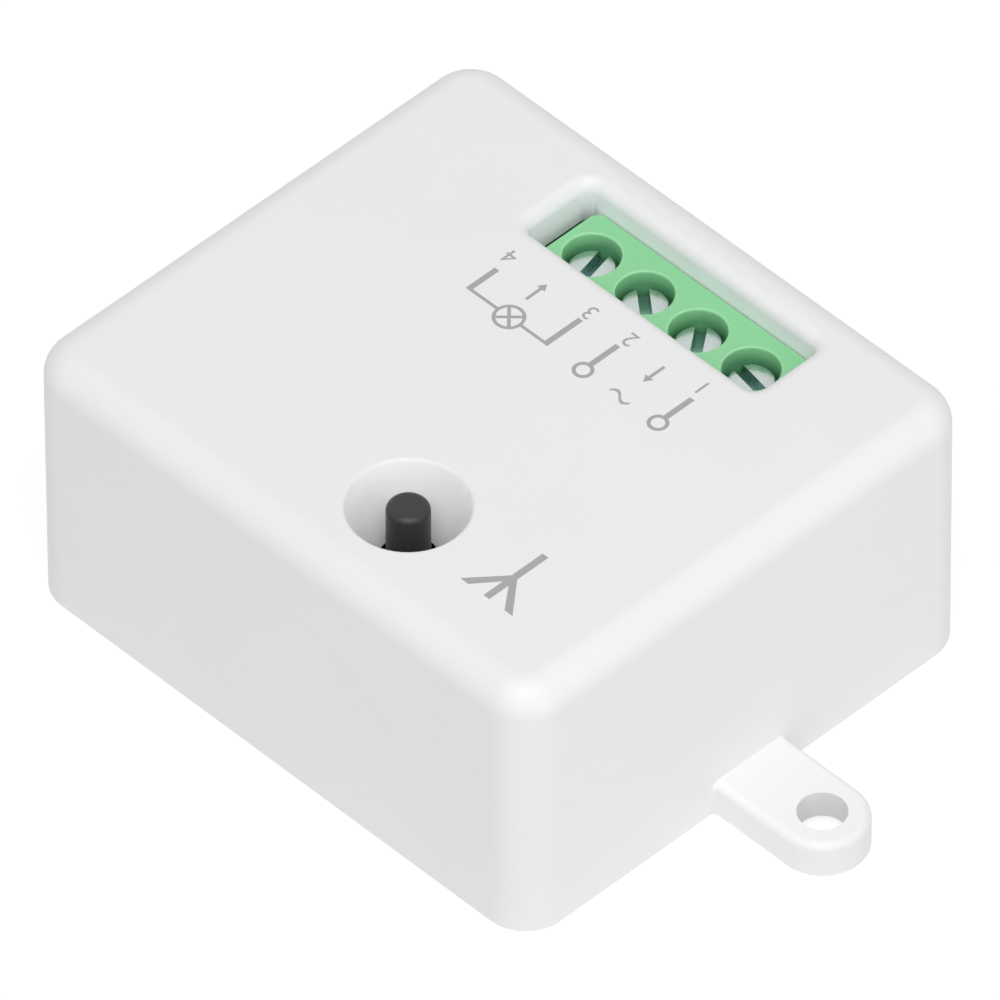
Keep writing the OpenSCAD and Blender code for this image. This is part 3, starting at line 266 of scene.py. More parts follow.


# Paints: marks, places of another colour, and painted light and shade, that a finish takes

STRIPE_SHARE = 1 / 3
CAN_EDGE = 0.05 * MM


def sleeve_marks(node):
    """Paint for a capacitor's sleeve: a pale stripe down one side, and the bare can on top."""
    low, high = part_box(node)
    radius = (high[0] - low[0]) / 2
    top = ((low[0] + high[0]) / 2, (low[1] + high[1]) / 2, high[2])

    def paint(tree, colours):
        place = axes_of(tree, object_place(tree, top))
        half = STRIPE_SHARE * radius
        side = within(tree, place["X"], -half, half)
        front = calc(tree, "MULTIPLY", side, calc(tree, "LESS_THAN", place["Y"], 0.0))
        striped = tint(tree, front, colours, STRIPE)
        bare = calc(tree, "GREATER_THAN", place["Z"], -CAN_EDGE)
        return tint(tree, bare, striped, ALUMINIUM)

    return paint


FIRST_BAND = 1.25


def colour_bands(node, axis):
    """Paint for a resistor that lies along an axis: colour bands round its body."""
    low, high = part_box(node)
    number = "XYZ".index(axis)
    pitch = (high[number] - low[number]) / (len(BANDS) + 2)

    def paint(tree, colours):
        along = axes_of(tree, object_place(tree, low))[axis]
        for i, band in enumerate(BANDS):
            start = (i + FIRST_BAND) * pitch
            colours = tint(tree, within(tree, along, start, start + pitch / 2), colours, band)
        return colours

    return paint


def off_axis(tree, centre):
    """Distance from an upright axis through a centre."""
    place = axes_of(tree, object_place(tree, (*centre, 0)))
    squares = [calc(tree, "MULTIPLY", place[axis], place[axis]) for axis in "XY"]
    return calc(tree, "SQRT", calc(tree, "ADD", *squares))


def axis_of(node):
    """Middle of a node, seen from above."""
    low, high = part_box(node)
    return (low[0] + high[0]) / 2, (low[1] + high[1]) / 2


def painted_inner_light(tree, colours):
    """Painted light on the housing: a whiter recess round the button, and lighter, cooler walls in
    the window.
    """
    at = axes_of(tree, object_place(tree))
    above = calc(tree, "GREATER_THAN", at["Z"], RECESS_BOTTOM)
    away = off_axis(tree, axis_of("button_stem"))
    inside = spread(tree, away, 1, 0, RECESS_R, RECESS_R + BORE_EDGE)
    # painted light: the recess round the button is painted whiter than the rest of the housing
    colours = tint(tree, calc(tree, "MULTIPLY", inside, above), colours, RECESS_PAINTED_LIGHT)
    top = cad_box[1][2]
    # painted light: the walls in the window, below the rim, are painted lighter and cooler
    walls = calc(tree, "MULTIPLY", above, spread(tree, at["Z"], 1, 0, top - WINDOW_RIM, top))
    for axis, limits in WINDOW.items():
        walls = calc(tree, "MULTIPLY", walls, within(tree, at[axis], *limits))
    return tint(tree, walls, colours, WINDOW_PAINTED_LIGHT)


def bore_shade_and_rim_highlight(tree, colours):
    """Paint for the terminal block: a painted highlight on the hole rims, and painted shade on the
    hole walls, deeper green towards the heads.
    """
    top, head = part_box("terminal_housing")[1][2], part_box("terminal_screw_1")[1][2]
    height = axes_of(tree, object_place(tree))["Z"]
    near_top = calc(tree, "GREATER_THAN", height, top - RIM_W)
    above = calc(tree, "GREATER_THAN", height, BORE_BOTTOM)
    depth = calc(tree, "MULTIPLY", above, spread(tree, height, 1, 0, head, top))
    for spot in screw_axes:
        away = off_axis(tree, spot)
        rim = spread(tree, away, 1, 0, BORE_R + RIM_W / 2, BORE_R + RIM_W)
        # painted highlight: a pale ring along the top edge of each hole
        colours = tint(tree, calc(tree, "MULTIPLY", near_top, rim), colours, RIM_HIGHLIGHT_GREEN)
        wall = spread(tree, away, 1, 0, BORE_R, BORE_R + BORE_EDGE)
        # painted shade: the hole walls darken towards the screw heads
        colours = tint(tree, calc(tree, "MULTIPLY", depth, wall), colours, BORE_SHADE_GREEN)
    return colours


def board_tracks(tree, colours):
    """Paint for the circuit board: copper fields under the resist, and bare laminate at its cuts."""
    low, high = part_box("circuit_board")
    cells = {"Vector": object_place(tree), "Scale": 1 / TRACK_FIELD, "Randomness": TRACK_DISORDER}
    field = add(tree, "ShaderNodeTexVoronoi", cells, distance="CHEBYCHEV").outputs["Distance"]
    edge = calc(tree, "PINGPONG", field, TRACK_PITCH)
    faces = tint(tree, within(tree, edge, TRACK_GAP, TRACK_PITCH), colours, TRACK_GREEN)
    height = axes_of(tree, object_place(tree))["Z"]
    cut = within(tree, height, low[2] + RESIST_T, high[2] - RESIST_T)
    return tint(tree, cut, faces, LAMINATE)


# Colours, sizes of what is painted, and the finish of each slot

WHITE = (0.9, 0.9, 0.9)
GREEN = (0.285, 0.69, 0.35)
BLACK = (0.02, 0.02, 0.021)
BLUE = (0.05, 0.15, 0.5)
CREAM = (0.8, 0.76, 0.62)
RESIST = (0.03, 0.2, 0.08)
RESIST_T = 0.035 * MM
LAMINATE = (0.42, 0.4, 0.22)
FERRITE = (0.06, 0.06, 0.065)
TAPE = (0.85, 0.62, 0.08)
EPOXY_BLUE = (0.07, 0.2, 0.45)
LACQUER = (0.62, 0.48, 0.3)
EPOXY_BLACK = (0.03, 0.03, 0.03)
SLEEVE = (0.03, 0.05, 0.12)
STRIPE = (0.6, 0.62, 0.65)
ALUMINIUM = (0.6, 0.6, 0.6)
COPPER = (0.72, 0.38, 0.2)
COIL_WIRE = 0.14 * MM
INK = (0.4, 0.4, 0.405)
BANDS = [(0.5, 0.02, 0.01), (0.01, 0.01, 0.01), (0.01, 0.01, 0.01), (0.6, 0.4, 0.05)]
TRACK_FIELD = 5.08 * MM
TRACK_PITCH = 0.12
TRACK_GAP = 0.05
TRACK_DISORDER = 0.9
TRACK_GREEN = (0.06, 0.3, 0.12)
# painted light: whiter recess round the button
RECESS_PAINTED_LIGHT = (0.97, 0.97, 0.97)
RECESS_R = 4.3 * MM
RECESS_BOTTOM = 17 * MM
# painted light: lighter, cooler walls in the window
WINDOW_PAINTED_LIGHT = (0.97, 0.95, 1)
WINDOW_RIM = 1 * MM
WINDOW = {"X": (-9 * MM, 14.4 * MM), "Y": (11 * MM, 18.4 * MM)}
# painted shade on the hole walls
BORE_SHADE_GREEN = (0.13, 0.38, 0.18)
BORE_R = 2.02 * MM
BORE_BOTTOM = 15 * MM
BORE_EDGE = 0.04 * MM
# painted highlight on the hole rims
RIM_HIGHLIGHT_GREEN = (0.37, 0.79, 0.43)
RIM_W = 0.18 * MM
SCREWS = 4

screw_axes = [axis_of(f"terminal_screw_{i + 1}") for i in range(SCREWS)]
banded = colour_bands("fuse_resistor", "Y")

# Colour, roughness, grain, relief, change of tone and any paint of what is moulded or coated
mouldings = {
    "white_plastic": (WHITE, 0.46, 0.12 * MM, 0.0012 * MM, 0.006, painted_inner_light),
    "green_plastic": (GREEN, 0.4, 0.1 * MM, 0.0015 * MM, 0.03, bore_shade_and_rim_highlight),
    "black_plastic": (BLACK, 0.42, 0.09 * MM, 0.003 * MM, 0.1),
    "blue_plastic": (BLUE, 0.3, 0.2 * MM, 0.001 * MM, 0.04),
    "cream_plastic": (CREAM, 0.45, 0.1 * MM, 0.001 * MM, 0.03),
    "board_laminate": (RESIST, 0.3, 0.3 * MM, 0.002 * MM, 0.12, board_tracks),
    "ferrite": (FERRITE, 0.55, 0.15 * MM, 0.006 * MM, 0.1),
    "yellow_tape": (TAPE, 0.3, 0.5 * MM, 0.003 * MM, 0.04),
    "blue_epoxy": (EPOXY_BLUE, 0.25, 0.8 * MM, 0.01 * MM, 0.06),
    "tan_ceramic": (LACQUER, 0.35, 0.4 * MM, 0.004 * MM, 0.06, banded),
    "chip_epoxy": (EPOXY_BLACK, 0.5, 0.08 * MM, 0.004 * MM, 0.1),
}
# Colour and roughness of the metals
metals = {
    "zinc_steel": ((0.72, 0.75, 0.75), 0.26),
    "brass": ((0.78, 0.6, 0.3), 0.3),
    "silver_contact": ((0.85, 0.85, 0.84), 0.22),
    "tinned_metal": ((0.75, 0.76, 0.77), 0.28),
    "soft_iron": ((0.5, 0.5, 0.5), 0.4),
    "copper_wire": (COPPER, 0.3),
}
finishes = {slot: moulded_plastic(slot, *look) for slot, look in mouldings.items()}
finishes.update({slot: plated_metal(slot, *look) for slot, look in metals.items()})
finishes["grey_ink"] = printed_ink("grey_ink", INK)
own_finishes = {"relay_coil": wound_wire("relay_coil_wire", COPPER, COIL_WIRE)}
for can in ("mains_capacitor", "output_capacitor"):
    sleeve = (SLEEVE, 0.25, 0.5 * MM, 0.002 * MM, 0.1, sleeve_marks(can))
    own_finishes[can] = moulded_plastic(f"{can}_sleeve", *sleeve)


# Frame nodes: a finish each, merged faces, soft edges and even light across their seams

MERGE = 0.001 * MM
WHOLE_FACE = math.radians(0.5)
TRUE_EDGE = math.radians(55)
PLAIN_SOFTNESS = 0.03 * MM
edge_softness = {
    "white_plastic": 0.1 * MM,
    "green_plastic": 0.14 * MM,
    "black_plastic": 0.06 * MM,
    "blue_plastic": 0.15 * MM,
    "ferrite": 0.15 * MM,
    "yellow_tape": 0.2 * MM,
    "chip_epoxy": 0.05 * MM,
}


def shaded(tree, geometry, edge_angle):
    """Geometry with smooth faces and with sharp edges over an angle."""
    faces = add(tree, "GeometryNodeSetShadeSmooth", {"Geometry": geometry}, domain="FACE")
    angle = add(tree, "GeometryNodeInputMeshEdgeAngle").outputs["Unsigned Angle"]
    sharp = {"Selection": calc(tree, "GREATER_THAN", angle, edge_angle), "Shade Smooth": False}
    sharp["Geometry"] = faces.outputs[0]
    return add(tree, "GeometryNodeSetShadeSmooth", sharp, domain="EDGE").outputs[0]


def geometry_tree(name, inputs):
    """New geometry tree with named inputs, and the outputs of its input node."""
    tree = bpy.data.node_groups.new(name, "GeometryNodeTree")
    for label, kind in {"Geometry": "Geometry", **inputs}.items():
        tree.interface.new_socket(label, in_out="INPUT", socket_type=f"NodeSocket{kind}")
    tree.interface.new_socket("Geometry", in_out="OUTPUT", socket_type="NodeSocketGeometry")
    return tree, add(tree, "NodeGroupInput").outputs


def smoothing_tree():
    """Tree that shades a frame node smooth but for its true edges."""
    tree, start = geometry_tree("smooth_but_for_edges", {})
    add(tree, "NodeGroupOutput", {"Geometry": shaded(tree, start["Geometry"], TRUE_EDGE)})
    return tree


smooth_faces = smoothing_tree()


def dress(node, finish, softness):
    """Gives a frame node its finish and soft, evenly lit edges."""
    node.data.materials.clear()
    node.data.materials.append(finish)
    node.modifiers.new("merged_triangles", "WELD").merge_threshold = MERGE
    faces = node.modifiers.new("whole_faces", "DECIMATE")
    faces.decimate_type = "DISSOLVE"
    faces.angle_limit = WHOLE_FACE
    edge = node.modifiers.new("soft_edges", "BEVEL")
    edge.width = softness
    edge.segments = 2
    edge.angle_limit = TRUE_EDGE
    node.modifiers.new("smooth_faces", "NODES").node_group = smooth_faces
    node.modifiers.new("even_light", "WEIGHTED_NORMAL").keep_sharp = True


for part in frame["record"]["subparts"]:
    name, slot = part["node"], part["material_slot"]
    finish = own_finishes.get(name) or finishes[slot]
    dress(nodes[name], finish, edge_softness.get(slot, PLAIN_SOFTNESS))


# Tools for the pieces that geometry nodes make; these are in millimetres until they are placed

PIECE_EDGE = math.radians(35)


def moved(tree, geometry, offset=(0, 0, 0), turn=(0, 0, 0), scale=1):
    """Geometry that is scaled, turned and then shifted."""
    change = {"Translation": offset, "Rotation": turn, "Scale": (scale, scale, scale)}
    return add(tree, "GeometryNodeTransform", {"Geometry": geometry, **change}).outputs[0]


def widened(tree, geometry, width):
    """Geometry whose points lie further out from the Z axis by a factor."""
    place = add(tree, "GeometryNodeInputPosition").outputs[0]
    across = add(tree, "ShaderNodeCombineXYZ", {"X": width, "Y": width, "Z": 1.0}).outputs[0]
    spot = add(tree, "ShaderNodeVectorMath", {0: place, 1: across}, operation="MULTIPLY").outputs[0]
    return add(tree, "GeometryNodeSetPosition", {"Geometry": geometry, "Position": spot}).outputs[0]


def close_tree(tree, start, geometry):
    """Ends a piece's tree: whole meshes, shaded and with their finish."""
    whole = add(tree, "GeometryNodeRealizeInstances", {"Geometry": geometry}).outputs[0]
    smooth = shaded(tree, whole, PIECE_EDGE)
    finished = {"Geometry": smooth, "Material": start["Finish"]}
    done = add(tree, "GeometryNodeSetMaterial", finished).outputs[0]
    add(tree, "NodeGroupOutput", {"Geometry": done})


def grown(name, tree, values, seed=()):
    """Plain mesh object that a tree makes from seed points with the given input values."""
    mesh = bpy.data.meshes.new(f"{name}_seed")
    mesh.from_pydata(list(seed), [], [])
    maker = bpy.data.objects.new(f"{name}_maker", mesh)
    growth = maker.modifiers.new("growth", "NODES")
    growth.node_group = tree
    for item in tree.interface.items_tree:
        if item.in_out == "INPUT" and item.name in values:
            growth[item.identifier] = values[item.name]
    bpy.context.scene.collection.objects.link(maker)
    ready = maker.evaluated_get(bpy.context.evaluated_depsgraph_get())
    piece = bpy.data.objects.new(name, bpy.data.meshes.new_from_object(ready))
    bpy.data.objects.remove(maker)
    bpy.data.meshes.remove(mesh)
    bpy.context.scene.collection.objects.link(piece)
    return piece


def fit(piece, body, slot, *replaced):
    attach(piece, body)
    if replaced:
        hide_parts(*replaced)


# Clamping screws

HEAD_H = 1.85
HEAD_BEVEL = 0.2
SLOT_W = 0.85
SLOT_D = 0.9
SLOT_TURNS = [103, 141, 127, 170]
SHANK_R = 1.25
THREAD_DEPTH = 0.22
THREAD_PITCH = 0.45
HEAD_SIDES = 96
SHANK_SIDES = 48
RINGS_PER_TURN = 10
CREST, ROOT = 0.08, 0.42
OWN_PLACE = "screw_place"
SCREW_ZINC = (0.58, 0.65, 0.64)
# painted shade for the screw slots
SLOT_SHADE_ZINC = (0.26, 0.4, 0.4)
TURNING_PITCH = 0.3 * MM


def screw_head(tree, radius, turn):
    """Slotted head with a bevelled edge, its lower face at height 0."""
    drum_h = HEAD_H - HEAD_BEVEL
    drum = {"Vertices": HEAD_SIDES, "Radius": radius, "Depth": drum_h}
    drum = add(tree, "GeometryNodeMeshCylinder", drum, fill_type="NGON").outputs
    crown = {"Mesh": drum["Mesh"], "Selection": drum["Top"], "Offset Scale": HEAD_BEVEL}
    crown = add(tree, "GeometryNodeExtrudeMesh", crown, mode="FACES").outputs
    bevel = {"Geometry": crown["Mesh"], "Selection": crown["Top"], "Scale": 1 - HEAD_BEVEL / radius}
    solid = add(tree, "GeometryNodeScaleElements", bevel).outputs[0]
    solid = moved(tree, solid, (0, 0, drum_h / 2))
    bar = {"Size": (4 * radius, SLOT_W, 2 * SLOT_D)}
    bar = add(tree, "GeometryNodeMeshCube", bar).outputs["Mesh"]
    lying = add(tree, "ShaderNodeCombineXYZ", {"Z": turn}).outputs[0]
    cut = {0: solid, 1: moved(tree, bar, (0, 0, HEAD_H), lying)}
    cut = add(tree, "GeometryNodeMeshBoolean", cut, operation="DIFFERENCE", solver="EXACT")
    return cut.outputs["Mesh"]


def screw_shank(tree, length):
    """Threaded shank that hangs from just inside the head: rings that swell along a helix."""
    rings = round(length / THREAD_PITCH) * RINGS_PER_TURN
    drum = {"Vertices": SHANK_SIDES, "Side Segments": rings, "Radius": SHANK_R, "Depth": length}
    drum = add(tree, "GeometryNodeMeshCylinder", drum, fill_type="NGON").outputs["Mesh"]
    at = axes_of(tree, add(tree, "GeometryNodeInputPosition").outputs[0])
    turn = calc(tree, "DIVIDE", calc(tree, "ARCTAN2", at["Y"], at["X"]), 2 * math.pi)
    climb = calc(tree, "SUBTRACT", calc(tree, "DIVIDE", at["Z"], THREAD_PITCH), turn)
    ridge = spread(tree, calc(tree, "PINGPONG", climb, 0.5), 0, 1, CREST, ROOT)
    lead_in = spread(tree, at["Z"], 0, 1, -length / 2, THREAD_PITCH - length / 2)
    swell = calc(tree, "MULTIPLY", ridge, lead_in)
    wound = widened(tree, drum, spread(tree, swell, 1 - THREAD_DEPTH / SHANK_R, 1, 0, 1))
    return moved(tree, wound, (0, 0, HEAD_BEVEL - length / 2))


def screw_tree(radius, shank_l):
    """Clamping screw that keeps its own coordinates in an attribute for its finish."""
    inputs = {"Turn": "Float", "Foot": "Vector", "Finish": "Material"}
    tree, start = geometry_tree("clamping_screw", inputs)
    whole = add(tree, "GeometryNodeJoinGeometry")
    for solid in (screw_head(tree, radius, start["Turn"]), screw_shank(tree, shank_l)):
        feed(tree, solid, whole.inputs[0])
    small = moved(tree, whole.outputs[0], scale=MM)
    kept = {"Name": OWN_PLACE, "Value": add(tree, "GeometryNodeInputPosition").outputs[0]}
    kept["Geometry"] = small
    kind = {"data_type": "FLOAT_VECTOR", "domain": "POINT"}
    kept = add(tree, "GeometryNodeStoreNamedAttribute", kept, **kind).outputs[0]
    close_tree(tree, start, moved(tree, kept, start["Foot"]))
    return tree


def slot_shade(tree, colours, place):
    """Paint for a screw: painted shade darkens the zinc from the head's bevel down to the floor of
    its slot.
    """
    floor, brow = (HEAD_H - SLOT_D) * MM, (HEAD_H - HEAD_BEVEL) * MM
    return tint(tree, spread(tree, axes_of(tree, place)["Z"], 1, 0, floor, brow), colours, SLOT_SHADE_ZINC)


def add_screws():
    own = {"kept_place": OWN_PLACE, "ring": TURNING_PITCH, "paint": slot_shade}
    finish = plated_metal("screw_zinc", SCREW_ZINC, rough=0.2, tone=0.05, **own)
    low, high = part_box("terminal_screw_1")
    head_r = (high[0] - low[0]) / 2 / MM
    shank_l = (high[2] - low[2]) / MM - HEAD_H + HEAD_BEVEL
    tree = screw_tree(head_r, shank_l)
    for i in range(SCREWS):
        node = f"terminal_screw_{i + 1}"
        foot = (*screw_axes[i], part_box(node)[1][2] - HEAD_H * MM)
        values = {"Turn": math.radians(SLOT_TURNS[i]), "Foot": foot, "Finish": finish}
        screw = grown(f"slotted_screw_{i + 1}", tree, values)
        fit(screw, f"screw_{i + 1}", "zinc_steel", node)


add_screws()


# Antenna: one wire that rises through the board and winds along X

WIRE_R = 0.3
COIL_R = 1.9
COIL_PITCH = 1.2
COIL_TURNS = 12
TURN_POINTS = 36
WIRE_SIDES = 12


def antenna_tree(lead, tail):
    """Coil along X from its axis's start, with a straight lead below and a short straight tail."""
    tree, start = geometry_tree("antenna_wire", {"Start": "Vector", "Finish": "Material"})
    wound = 2 * math.pi * COIL_TURNS * COIL_R
    length = lead + wound + tail
    points = round(length / (2 * math.pi * COIL_R) * TURN_POINTS)
    line = add(tree, "GeometryNodeCurvePrimitiveLine").outputs[0]
    line = add(tree, "GeometryNodeResampleCurve", {"Curve": line, "Count": points}).outputs[0]
    share = add(tree, "GeometryNodeSplineParameter").outputs["Factor"]
    run = spread(tree, share, -lead, length - lead, 0, 1)
    coiled = spread(tree, run, 0, wound, 0, wound)
    straight = calc(tree, "SUBTRACT", run, coiled)
    angle = calc(tree, "DIVIDE", coiled, COIL_R)
    rise = calc(tree, "MULTIPLY", calc(tree, "SINE", angle), COIL_R)
    place = {
        "X": calc(tree, "MULTIPLY", angle, COIL_PITCH / (2 * math.pi)),
        "Y": calc(tree, "MULTIPLY", calc(tree, "COSINE", angle), COIL_R),
        "Z": calc(tree, "ADD", rise, straight),
    }
    spot = add(tree, "ShaderNodeCombineXYZ", place).outputs[0]
    path = add(tree, "GeometryNodeSetPosition", {"Geometry": line, "Position": spot}).outputs[0]
    ring = {"Resolution": WIRE_SIDES, "Radius": WIRE_R}
    ring = add(tree, "GeometryNodeCurvePrimitiveCircle", ring).outputs[0]
    wire = {"Curve": path, "Profile Curve": ring, "Fill Caps": True}
    wire = add(tree, "GeometryNodeCurveToMesh", wire).outputs[0]
    close_tree(tree, start, moved(tree, wire, start["Start"], scale=MM))
    return tree


def add_antenna():
    low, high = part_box("antenna_coil")
    axis_z = high[2] - (COIL_R + WIRE_R) * MM
    begin = (low[0] + WIRE_R * MM, (low[1] + high[1]) / 2, axis_z)
    tree = antenna_tree((axis_z - low[2]) / MM, 2 * WIRE_R)
    wire = grown("antenna_wire", tree, {"Start": begin, "Finish": finishes["copper_wire"]})
    fit(wire, "module", "copper_wire", "antenna_coil")


add_antenna()


# Solder round the leads, under the board

SOLDER_R = 0.85
SOLDER_H = 0.9
SOLDER_TIP = 0.3
SOLDER_HOLLOW = 2.2
SOLDER_SIDES = 20
SOLDER_RINGS = 6
LEAD_SPREAD = 0.9 * MM
SOLDERED = [
    "terminal_contacts", "switch_legs", "relay_pins", "transformer_pins",
    "capacitor_leads", "protection_leads", "crystal_leads", "antenna_coil",
]


def lead_ends(name):
    """Middles of the lowest faces of a node's leads."""
    points = [v.co for v in nodes[name].data.vertices]
    lowest = min(p.z for p in points)
    ends = []
    for p in points:
        if p.z > lowest + MERGE:
            continue
        near = [e for e in ends if (e[0].xy - p.xy).length < LEAD_SPREAD]
        if near:
            near[0].append(p)
        else:
            ends.append([p])
    return [middle_of(end) for end in ends]


def middle_of(points):
    """Middle of the box round some points, seen from above."""
    xs, ys = [p.x for p in points], [p.y for p in points]
    return (min(xs) + max(xs)) / 2, (min(ys) + max(ys)) / 2


def solder_tree():
    """Fillet of solder that hangs from each point and narrows in a hollow curve."""
    tree, start = geometry_tree("solder_joint", {"Finish": "Material"})
    drum = {"Vertices": SOLDER_SIDES, "Side Segments": SOLDER_RINGS}
    drum.update({"Radius": 1.0, "Depth": SOLDER_H})
    drum = add(tree, "GeometryNodeMeshCylinder", drum, fill_type="NGON").outputs["Mesh"]
    at = axes_of(tree, add(tree, "GeometryNodeInputPosition").outputs[0])
    height = spread(tree, at["Z"], 0, 1, -SOLDER_H / 2, SOLDER_H / 2)
    flare = calc(tree, "POWER", height, SOLDER_HOLLOW)
    fillet = widened(tree, drum, spread(tree, flare, SOLDER_TIP, SOLDER_R, 0, 1))
    hung = moved(tree, fillet, (0, 0, -SOLDER_H / 2 * MM), scale=MM)
    joints = {"Points": start["Geometry"], "Instance": hung}
    close_tree(tree, start, add(tree, "GeometryNodeInstanceOnPoints", joints).outputs[0])
    return tree


def add_solder():
    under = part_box("circuit_board")[0][2]
    spots = [(x, y, under) for name in SOLDERED for x, y in lead_ends(name)]
    solder = grown("solder_joints", solder_tree(), {"Finish": finishes["tinned_metal"]}, spots)
    fit(solder, "module", "tinned_metal")


add_solder()


# Printed marks on the top face: a wiring diagram, terminal numbers and an aerial sign

INK_LOW = cad_box[1][2] - 0.002 * MM
INK_HIGH = cad_box[1][2] + 0.006 * MM
ARC_SIDES = 48
NUMERAL_SHARE = 0.7
ARROW_HEAD_L = 2.4
ARROW_HEAD_W = 3


def turned(centre, radius, share):
    """Point on a circle, a share of a turn on from +X."""
    angle = 2 * math.pi * share
    return centre[0] + radius * math.cos(angle), centre[1] + radius * math.sin(angle)


class Print:
    """Flat marks that are gathered into one piece of ink."""

    def __init__(self):
        self.mesh = bmesh.new()

    def loop(self, outline, height):
        """New points along an outline."""
        return [self.mesh.verts.new((x, y, height)) for x, y in outline]

    def wall(self, low, high):
        """Faces from one loop to the next, outwards where low is lower and counterclockwise."""
        for i in range(len(low)):
            self.mesh.faces.new((low[i - 1], low[i], high[i], high[i - 1]))

    def shape(self, outline):
        """Closed slab with a counterclockwise outline."""
        low, high = self.loop(outline, INK_LOW), self.loop(outline, INK_HIGH)
        self.mesh.faces.new(high)
        self.mesh.faces.new(low[::-1])
        self.wall(low, high)

    def bar(self, start, end, width):
        """Straight stroke with square ends."""
        a, b = Vector(start), Vector(end)
        side = (b - a).normalized().orthogonal() * width / 2
        self.shape([a - side, b - side, b + side, a + side])

    def ring(self, centre, outer_r, width):
        """Outline of a circle."""
        loops = []
        for radius in (outer_r, outer_r - width):
            circle = [turned(centre, radius, i / ARC_SIDES) for i in range(ARC_SIDES)]
            loops += [self.loop(circle, INK_LOW), self.loop(circle, INK_HIGH)]
        out_low, out_high, in_low, in_high = loops
        self.wall(out_low, out_high)
        self.wall(out_high, in_high)
        self.wall(in_high, in_low)
        self.wall(in_low, out_low)

    def wave(self, centre, length, height, width):
        """One period of an alternating current, along X."""
        steps = [i / ARC_SIDES for i in range(ARC_SIDES + 1)]
        line = [(length * (t - 0.5), height / 2 * math.sin(2 * math.pi * t)) for t in steps]
        low, high = [
            [(centre[0] + x, centre[1] + y + side * width / 2) for x, y in line] for side in (-1, 1)
        ]
        self.shape(low + high[::-1])

    def arrow(self, tail, tip, width):
        """Arrow with a solid head, whose size is counted in strokes."""
        a, b = Vector(tail), Vector(tip)
        along = (b - a).normalized()
        side = along.orthogonal() * width
        neck, wing = b - ARROW_HEAD_L * width * along, ARROW_HEAD_W / 2 * side
        right = [a - side / 2, neck - side / 2, neck - wing]
        left = [neck + wing, neck + side / 2, a + side / 2]
        self.shape([*right, b, *left])

    def cross(self, centre, reach, width):
        """Two strokes that cross at right angles, along the diagonals."""
        half = width / math.sqrt(2)
        corner = math.sqrt(reach ** 2 - (width / 2) ** 2) / math.sqrt(2)
        near, far = corner - half / 2, corner + half / 2
        quarter = [Vector((half, 0)), Vector((far, near)), Vector((near, far))]
        outline = [Matrix.Rotation(math.pi / 2 * i, 2) @ p for i in range(4) for p in quarter]
        self.shape([p + Vector(centre) for p in outline])

    def number(self, text, centre, height):
        """Plain numeral that reads from the wire side."""
        letters = bpy.data.curves.new("numeral", "FONT")
        letters.body = text
        letters.size = height / NUMERAL_SHARE
        letters.extrude = (INK_HIGH - INK_LOW) / 2
        maker = bpy.data.objects.new("numeral_maker", letters)
        flat = bpy.data.meshes.new_from_object(maker)
        x, y = middle_of([v.co for v in flat.vertices])
        place = Vector((*centre, (INK_LOW + INK_HIGH) / 2))
        upside = Matrix.Translation(place) @ Matrix.Rotation(math.pi, 4, "Z")
        flat.transform(upside @ Matrix.Translation((-x, -y, 0)))
        self.mesh.from_mesh(flat)
        bmesh.ops.remove_doubles(self.mesh, verts=self.mesh.verts, dist=MERGE / 10)
        bpy.data.objects.remove(maker)
        bpy.data.curves.remove(letters)
        bpy.data.meshes.remove(flat)

    def finish(self, name):
        """Turns the marks into a piece on the housing."""
        mesh = bpy.data.meshes.new(name)
        self.mesh.to_mesh(mesh)
        self.mesh.free()
        mesh.materials.append(finishes["grey_ink"])
        piece = bpy.data.objects.new(name, mesh)
        bpy.context.scene.collection.objects.link(piece)
        fit(piece, "module", "grey_ink")


def on_face(x, y):
    """Point on the top face from millimetres."""
    return x * MM, y * MM


THIN = 0.25 * MM
THICK = 0.45 * MM
LAMP = on_face(-3.19, 4.21)
LAMP_R = 1.17 * MM
LAMP_LEADS = [on_face(-7.0, 6.82), on_face(0.35, 7.48)]
SUPPLY = [on_face(3.88, 4.22), on_face(10.96, 4.28)]
SUPPLY_R = 0.77 * MM
SUPPLY_STROKE = 0.28 * MM
SUPPLY_TOP = 7.5 * MM
LOAD_ARROW = (on_face(-3.6, 6.2), on_face(-3.6, 8.2))
SUPPLY_ARROW = (on_face(7.5, 8.3), on_face(7.5, 6.3))
SUPPLY_WAVE = on_face(7.4, 4.2)
WAVE_SIZE = on_face(1.9, 0.6)
NUMBER_H = 1.3 * MM
NUMBERS = [on_face(10.68, 8.69), on_face(4.06, 8.45), on_face(0.35, 8.34), on_face(-7.23, 8.25)]
AERIAL_FOOT = on_face(14.6, -9.8)
AERIAL_H = 5.5 * MM
AERIAL_FORK = 3.3 * MM
AERIAL_REACH = 2.1 * MM
AERIAL_STROKE = 0.55 * MM


def print_diagram():
    """Lamp between its two terminals, and the two terminals of the supply."""
    ink = Print()
    ink.ring(LAMP, LAMP_R, THIN)
    ink.cross(LAMP, LAMP_R - THIN, THIN)
    for x, top in LAMP_LEADS:
        side = math.copysign(1, x - LAMP[0])
        ink.bar((LAMP[0] + side * LAMP_R, LAMP[1]), (x + side * THICK / 2, LAMP[1]), THIN)
        ink.bar((x, LAMP[1] + THIN / 2), (x, top), THICK)
    for x, y in SUPPLY:
        ink.ring((x, y), SUPPLY_R, SUPPLY_STROKE)
        ink.bar((x, y + SUPPLY_R), (x, SUPPLY_TOP), THICK)
    ink.arrow(*LOAD_ARROW, THIN)
    ink.arrow(*SUPPLY_ARROW, THIN)
    ink.wave(SUPPLY_WAVE, *WAVE_SIZE, THIN)
    ink.finish("print_diagram")


def print_numbers():
    """Terminal numbers, counted from the supply's end."""
    ink = Print()
    for i, centre in enumerate(NUMBERS):
        ink.number(str(i + 1), centre, NUMBER_H)
    ink.finish("print_numbers")


